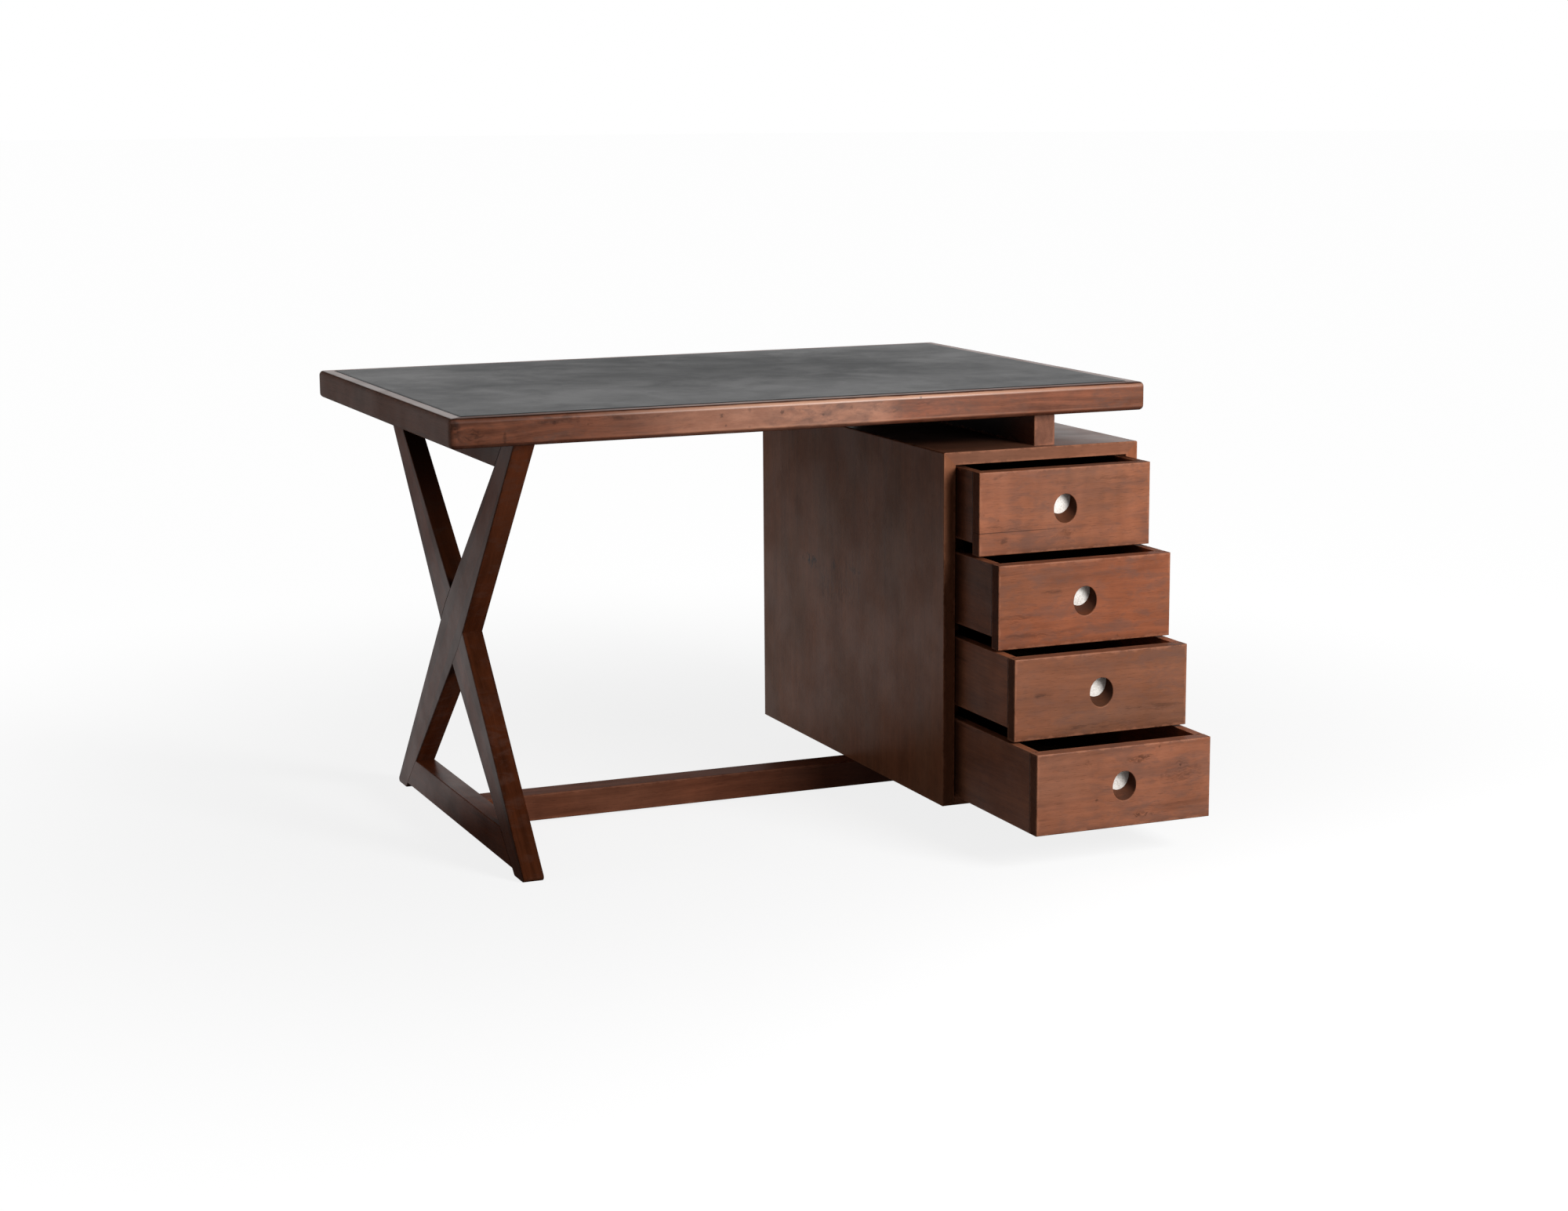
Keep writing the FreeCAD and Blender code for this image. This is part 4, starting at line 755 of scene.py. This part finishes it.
# The left side's paler stain is painted light, brightening a side the lamps leave dim; the
# darkening of its front edge, last of the marks, is painted shade from the drawers.
in_teak("pedestal_left_side", "z", (0.3, -0.2, -0.34), pale=stain(190, 123, 89),
        dark=stain(130, 82, 58), streaks=0.3, figure=0.4, fine=0.45, bands=0.8,
        polish=(0.32, 0.06, 0.2), fade=mopped(0.24, 0.55),
        marks=(left_smear(0.305, 0.394, 0.045, 0.016, 1.0, 90, 0.8),
               left_smear(0.20, 0.40, 0.016, 0.014, 1.0, 60, 0.5),
               left_smear(0.115, 0.405, 0.03, 0.01, 0.6, 240, 0.8),
               left_smear(0.20, 0.36, 0.10, 0.05, 0.4, 240, 0.6),
               changed_towards(Y, -0.2530, -0.2550, 0.4)))
in_teak("pedestal_right_side", "z", (0.6, -0.1, 0.52), streaks=0.6, figure=0.6,
        polish=(0.3, 0.08, 0.2))
in_teak("pedestal_top", "x", (0.2, -0.16, -0.58), pale=stain(164, 106, 80),
        dark=stain(112, 70, 51), polish=(0.2, 0.1, 0.72), fine=0.5, bands=0.5,
        marks=(shade_under_top,))
in_teak("pedestal_bottom", "x", (0.7, -0.10, 0.05), polish=(0.1, 0.08, 0.1))
in_teak("pedestal_back", "z", (0.1, -0.45, -0.4), polish=(0.1, 0.2, 0.1))
in_teak("spacer_rail", "y", (0.1, -0.47, -0.62), pale=stain(156, 99, 74), dark=stain(108, 66, 48),
        polish=(0.1, 0.3, 0.1), ends=0.12, marks=(shade_under_top,))


# Drawer runners: six plain strips screwed to the inside of the pedestal, left
# with a thin coat of oil.
RUNNER_PALE, RUNNER_DARK = stain(140, 96, 66), stain(104, 68, 46)
for number in (1, 2, 3):
    for side in ("left", "right"):
        in_teak(f"runner_{number}_{side}", "y", (0.2 * number, -0.4, -0.2 * number),
                pale=RUNNER_PALE, dark=RUNNER_DARK, streaks=0.2, wear=0.2, polish=THIN_OIL)


# Drawers: fronts of picked teak, each with a slanted finger bore, on boxes of
# plainer teak with plywood bottoms. A dull metal plate closes each bore behind.
PLATE_LIGHT, PLATE_DULL = stain(242, 238, 232), stain(198, 190, 182)
GRIT_NOISE, GRIT_SHARE, GRIT_ROUGH = (420.0, 4.0, 0.7), 0.6, (0.3, 0.7, 0.62, 0.42)
DULL_NOISE, DULL_SHARE = (60.0, 3.0, 0.6), 0.4
PLATE_SHOWN, PLATE_METAL = (0.38, 0.62), (0.36, 0.64, 0.55, 0.1)
PLATE_BUMP = {"strength": 0.4, "distance": 0.0003}


def pull_metal(name):
    """Aluminium with a pale bloom of oxide, a little pitted: noise in its colour, metal, roughness
    and relief."""
    made, tree, place = new_material(name)
    grit, dull = cloud(tree, place, *GRIT_NOISE), cloud(tree, place, *DULL_NOISE)
    share = plus(tree, times(tree, grit, GRIT_SHARE), times(tree, dull, DULL_SHARE))
    surface(tree, {
        "Base Color": tinted(tree, slope(tree, share, *PLATE_SHOWN), PLATE_DULL, PLATE_LIGHT),
        "Roughness": slope(tree, grit, *GRIT_ROUGH), "Normal": bumps(tree, grit, **PLATE_BUMP),
        "Metallic": slope(tree, share, *PLATE_METAL)})
    return made


GLUE_EDGE, GLUE_SHOWN, JOINT_EDGE = (0.0011, 0.0003), (0.1, 0.7), (0.0030, 0.0012, 0.0, 0.85)


def glue_line(height, x_from, x_to):
    """The joint of a front glued up from two boards: a thin dark line that fades out along it."""
    def mark(tree, place, colour):
        x, _, z = axes(tree, place)
        line = slope(tree, maths(tree, "ABSOLUTE", minus(tree, z, height)), *GLUE_EDGE)
        shown = times(tree, line, slope(tree, x, x_to, x_from, *GLUE_SHOWN))
        return tinted(tree, shown, colour, DIRT_AND_SHADE)
    return mark


# Half the width and height of the room round a bore, and depths behind the front's face.
BORE_WIDE, BORE_HIGH = (0.032, 0.028), (0.052, 0.048)
RIM_STARTS, RIM_ENDS = (0.0001, 0.0004), (0.0014, 0.0009, 0.0, 0.45)
WALL_STARTS = (0.0010, 0.0030, 0.0, 0.6)


def rim_wear_and_bore_shade(face, middle):
    """A rim rubbed pale round the bore by fingers, and painted shade: the wall inside the bore laid
    dark.
    """
    def mark(tree, place, colour):
        x, y, z = axes(tree, vectors(tree, "SUBTRACT", place, (middle.x, face, middle.z)))
        inside = times(tree, slope(tree, maths(tree, "ABSOLUTE", x), *BORE_WIDE),
                       slope(tree, maths(tree, "ABSOLUTE", z), *BORE_HIGH))
        rim = times(tree, inside, between(tree, y, RIM_STARTS, RIM_ENDS))
        colour = tinted(tree, rim, colour, WORN_TEAK)
        return tinted(tree, times(tree, inside, slope(tree, y, *WALL_STARTS)), colour, DIRT_AND_SHADE)
    return mark


def joint_line(behind):
    """The dark line where a drawer side meets its front."""
    def mark(tree, place, colour):
        off = maths(tree, "ABSOLUTE", minus(tree, axes(tree, place)[Y], behind))
        return tinted(tree, slope(tree, off, *JOINT_EDGE), colour, DIRT_AND_SHADE)
    return mark


def shaded(colour, shade):
    """A stain made darker or paler by a share."""
    return stain(*np.multiply(colour, shade))


FRONT_THICK, FRONT_FOOT, FRONT_FOOT_DARK = 0.024, 0.014, 0.3
FRONT_PALE, FRONT_DARK = (178, 110, 78), (122, 72, 49)
SIDE_PALE, SIDE_DARK = (160, 98, 68), (108, 64, 45)
BOTTOM_PALE, BOTTOM_DARK = stain(150, 108, 76), stain(118, 80, 54)
# Painted shade on the drawer sides, darkening them next to the pedestal's front.
IN_SHADE, IN_SHADE_FROM, IN_SHADE_FULL = 0.75, 0.04, 0.005
# Each front's heart, shade, bands, figure and ripple, and the shade of its drawer's sides.
DRAWER_LOOKS = (((0.1, 0.36, -0.78), (0.97, 0.97, 0.98), 0.8, 0.35, 0.6, 1.0),
                ((0.5, 0.40, -0.22), (0.92, 0.87, 0.84), 0.45, 0.35, 0.2, 1.03),
                ((0.9, 0.55, -0.52), (0.84, 0.86, 0.88), 0.7, 0.35, 0.2, 1.2),
                ((1.4, 0.49, 0.10), (0.94, 0.96, 1.0), 0.8, 0.7, 0.2, 1.05))
FRONT_MARKS = (
    (glue_line(0.5335, 0.33, 0.46), *front_smears(-0.34, (
        (0.32, 0.541, 0.07, 0.008, 0.45, 24, 260, 0.5),
        (0.2765, 0.5643, 0.003, 0.003, 1.0, 9, 9, 0.1),
        (0.53, 0.610, 0.08, 0.010, 0.3, 24, 260, 0.5),
        (0.43, 0.522, 0.035, 0.012, 0.4, 40, 90, 1.0),
        (0.312, 0.518, 0.018, 0.008, 0.45, 50, 120, 1.0),
        (0.306, 0.6255, 0.022, 0.006, 0.35, 40, 120, 0.8),
        (0.43, 0.605, 0.05, 0.016, 0.3, 24, 60, 0.8)))),
    front_smears(-0.41, (
        (0.366, 0.440, 0.025, 0.005, 0.5, 24, 260, 0.5),
        (0.30, 0.40, 0.05, 0.012, 0.4, 24, 260, 0.5),
        (0.33, 0.371, 0.09, 0.007, 0.35, 24, 260, 0.5))),
    front_smears(-0.47, (
        (0.318, 0.282, 0.024, 0.006, 0.55, 24, 260, 0.5),
        (0.53, 0.246, 0.07, 0.008, 0.45, 24, 260, 0.5),
        (0.42, 0.223, 0.10, 0.008, 0.35, 24, 260, 0.5))),
    front_smears(-0.55, (
        (0.458, 0.181, 0.036, 0.008, 0.65, 40, 300, 1.1),
        (0.466, 0.0865, 0.026, 0.006, 0.7, 40, 300, 1.0),
        (0.362, 0.179, 0.012, 0.008, 0.4, 50, 160, 1.0),
        (0.314, 0.072, 0.012, 0.004, 0.7, 50, 160, 0.6),
        (0.54, 0.149, 0.05, 0.03, 0.35, 30, 420, 0.8))))
plate_finish = pull_metal("pull_plate_metal")
pedestal_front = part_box("pedestal_left_side")[0].y
for number, (look, front_marks) in enumerate(zip(DRAWER_LOOKS, FRONT_MARKS), 1):
    heart, shade, bands, figure, ripple, side_shade = look
    drawer = f"drawer_{number}_"
    front_low, front_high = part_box(drawer + "front")
    in_teak(drawer + "front", "x", heart, pale=shaded(FRONT_PALE, shade),
            dark=shaded(FRONT_DARK, shade), streaks=0.3, fine=0.8, bands=bands, figure=figure,
            ripple=ripple, polish=(0.1, 0.28, 0.2),
            marks=(bloomed(0.45, 0.9), bloomed(0.3, 2.0), *front_marks,
                   rim_wear_and_bore_shade(front_low.y, (front_low + front_high) / 2),
                   changed_towards(Z, front_low.z + FRONT_FOOT, front_low.z, FRONT_FOOT_DARK)))
    for side in ("left_side", "right_side"):
        in_teak(drawer + side, "y", (0.4 * number, -0.3, -0.15 * number),
                pale=shaded(SIDE_PALE, side_shade), dark=shaded(SIDE_DARK, side_shade),
                streaks=0.6, polish=(0.17, 0.1, 0.15),
                marks=(joint_line(front_low.y + FRONT_THICK),
                       changed_towards(Y, pedestal_front - IN_SHADE_FROM,
                                       pedestal_front - IN_SHADE_FULL, IN_SHADE)))
    in_teak(drawer + "back", "x", (0.2 * number, -0.2, -0.1 * number), pale=RUNNER_PALE,
            dark=RUNNER_DARK, polish=THIN_OIL)
    in_teak(drawer + "bottom", "x", (0.3 * number, -0.9, -0.1 * number), pale=BOTTOM_PALE,
            dark=BOTTOM_DARK, streaks=0.1, polish=THIN_OIL)
    finish_with(drawer + "pull_plate", plate_finish)


# Fastenings: steel wood screws, zinc coated and dull, countersunk in the hidden
# faces of the rails, runners and pull plates.
ZINC_DARK, ZINC_PALE, ZINC_NOISE = stain(112, 110, 106), stain(158, 156, 150), (300.0, 3.0, 0.6)
ZINC_SHOWN, ZINC_ROUGH = (0.35, 0.65), (0.3, 0.7, 0.5, 0.35)


def screw_steel():
    """Dull zinc on steel: grey, rough, mottled by noise."""
    made, tree, place = new_material("screw_steel")
    mottle = cloud(tree, place, *ZINC_NOISE)
    surface(tree, {
        "Base Color": tinted(tree, slope(tree, mottle, *ZINC_SHOWN), ZINC_DARK, ZINC_PALE),
        "Roughness": slope(tree, mottle, *ZINC_ROUGH), "Metallic": 1.0})
    return made


screw_finish = screw_steel()
for screws in ("cross_frame_screws", "pedestal_foot_screws", "spacer_screws", "runner_screws",
               *(f"drawer_{number}_pull_screws" for number in (1, 2, 3, 4))):
    finish_with(screws, screw_finish)


# Studio: a pale floor that runs out to white, one soft lamp to the front near the right end
# of the desk, a weak one far to the left, and a little light from all round.
FLOOR_REACH, FLOOR_RINGS, FLOOR_TURNS = 60.0, 40, 96
FLOOR_GREY, WHITE, FILL_STRENGTH = (0.22, 0.22, 0.22, 1.0), (1.0, 1.0, 1.0, 1.0), 0.075
GLOW_MIDDLE, GLOW = (0.0, 0.1, 0.0), (0.6, 2.4, 0.84, 0.97)
# Each lamp's place, aim, watts and size.
LAMPS = {"soft_key": ((0.9, -2.1, 1.08), (0.35, 0.0, 0.5), 40.0, 0.8),
         "soft_left": ((-2.6, 0.9, 1.1), (0.2, 0.1, 0.4), 5.5, 1.5)}


def floor_points(height):
    """The floor: rings that widen with the cube of their number, from a point out to its reach."""
    radius = FLOOR_REACH * np.linspace(0, 1, FLOOR_RINGS) ** 3
    turn = np.linspace(0, 2 * np.pi, FLOOR_TURNS)
    r, t = np.meshgrid(radius, turn, indexing="ij")
    return np.stack((r * np.cos(t), r * np.sin(t), np.full_like(r, height)), -1)


def seen(tree):
    """1 for light that is seen straight, by gloss or through glass, and 0 for light that only
    lights."""
    path = node(tree, "LightPath").outputs
    either = maths(tree, "MAXIMUM", path["Is Camera Ray"], path["Is Glossy Ray"])
    return maths(tree, "MAXIMUM", either, path["Is Transmission Ray"])


def floor_finish():
    """Pale matt floor that keeps the shadow, and glows to white away from the object when seen."""
    made, tree, place = new_material("studio_floor")
    far = vectors(tree, "DISTANCE", place, GLOW_MIDDLE)
    glow = times(tree, slope(tree, far, *GLOW), seen(tree))
    matt = node(tree, "BsdfDiffuse", {"Color": FLOOR_GREY})
    light = node(tree, "Emission", {"Color": WHITE, "Strength": glow})
    both = node(tree, "AddShader", {0: matt.outputs[0], 1: light.outputs[0]})
    node(tree, "OutputMaterial", {"Surface": both.outputs[0]})
    return made


floor = bpy.data.objects.new("studio_floor", grid_mesh("studio_floor", floor_points(cad_low.z)))
bpy.context.scene.collection.objects.link(floor)
floor.data.materials.append(floor_finish())

world = bpy.data.worlds.new("studio")
world.use_nodes = True
sky = world.node_tree
sky.nodes.clear()
strength = slope(sky, seen(sky), 0.0, 1.0, FILL_STRENGTH, 1.0, smooth=False)
light_all_round = node(sky, "Background", {"Color": WHITE, "Strength": strength})
node(sky, "OutputWorld", {"Surface": light_all_round.outputs[0]})
bpy.context.scene.world = world

for name, (lamp_place, aim, watts, size) in LAMPS.items():
    light = bpy.data.lights.new(name, "AREA")
    light.energy, light.shape, light.size = watts, "SQUARE", size
    lamp = bpy.data.objects.new(name, light)
    lamp.location, lamp.rotation_mode = lamp_place, "QUATERNION"
    lamp.rotation_quaternion = (Vector(aim) - Vector(lamp_place)).to_track_quat("-Z", "Y")
    bpy.context.scene.collection.objects.link(lamp)


# Camera: to the front left of the desk at chest height, looking down a little,
# with a longer lens.
EYE = (-1.84645, -4.52028, 1.28178)
YAW, PITCH, ROLL = -0.39934, -0.1832, -0.00669
IMAGE_WIDE, FOCAL_PIXELS, SENSOR = 2000.0, 3653.64, 36.0
forward = np.array((-math.sin(YAW) * math.cos(PITCH), math.cos(YAW) * math.cos(PITCH),
                    math.sin(PITCH)))
level = np.array((math.cos(YAW), math.sin(YAW), 0.0))
upright = np.cross(level, forward)
right = level * math.cos(ROLL) + upright * math.sin(ROLL)
up = upright * math.cos(ROLL) - level * math.sin(ROLL)
lens = bpy.data.cameras.new("camera")
lens.sensor_fit, lens.sensor_width = "HORIZONTAL", SENSOR
lens.lens = SENSOR * FOCAL_PIXELS / IMAGE_WIDE
camera = bpy.data.objects.new("camera", lens)
camera.matrix_world = [(*right, 0.0), (*up, 0.0), (*-forward, 0.0), (*EYE, 1.0)]
bpy.context.scene.collection.objects.link(camera)
bpy.context.scene.camera = camera
bpy.context.scene.view_settings.view_transform = "Standard"
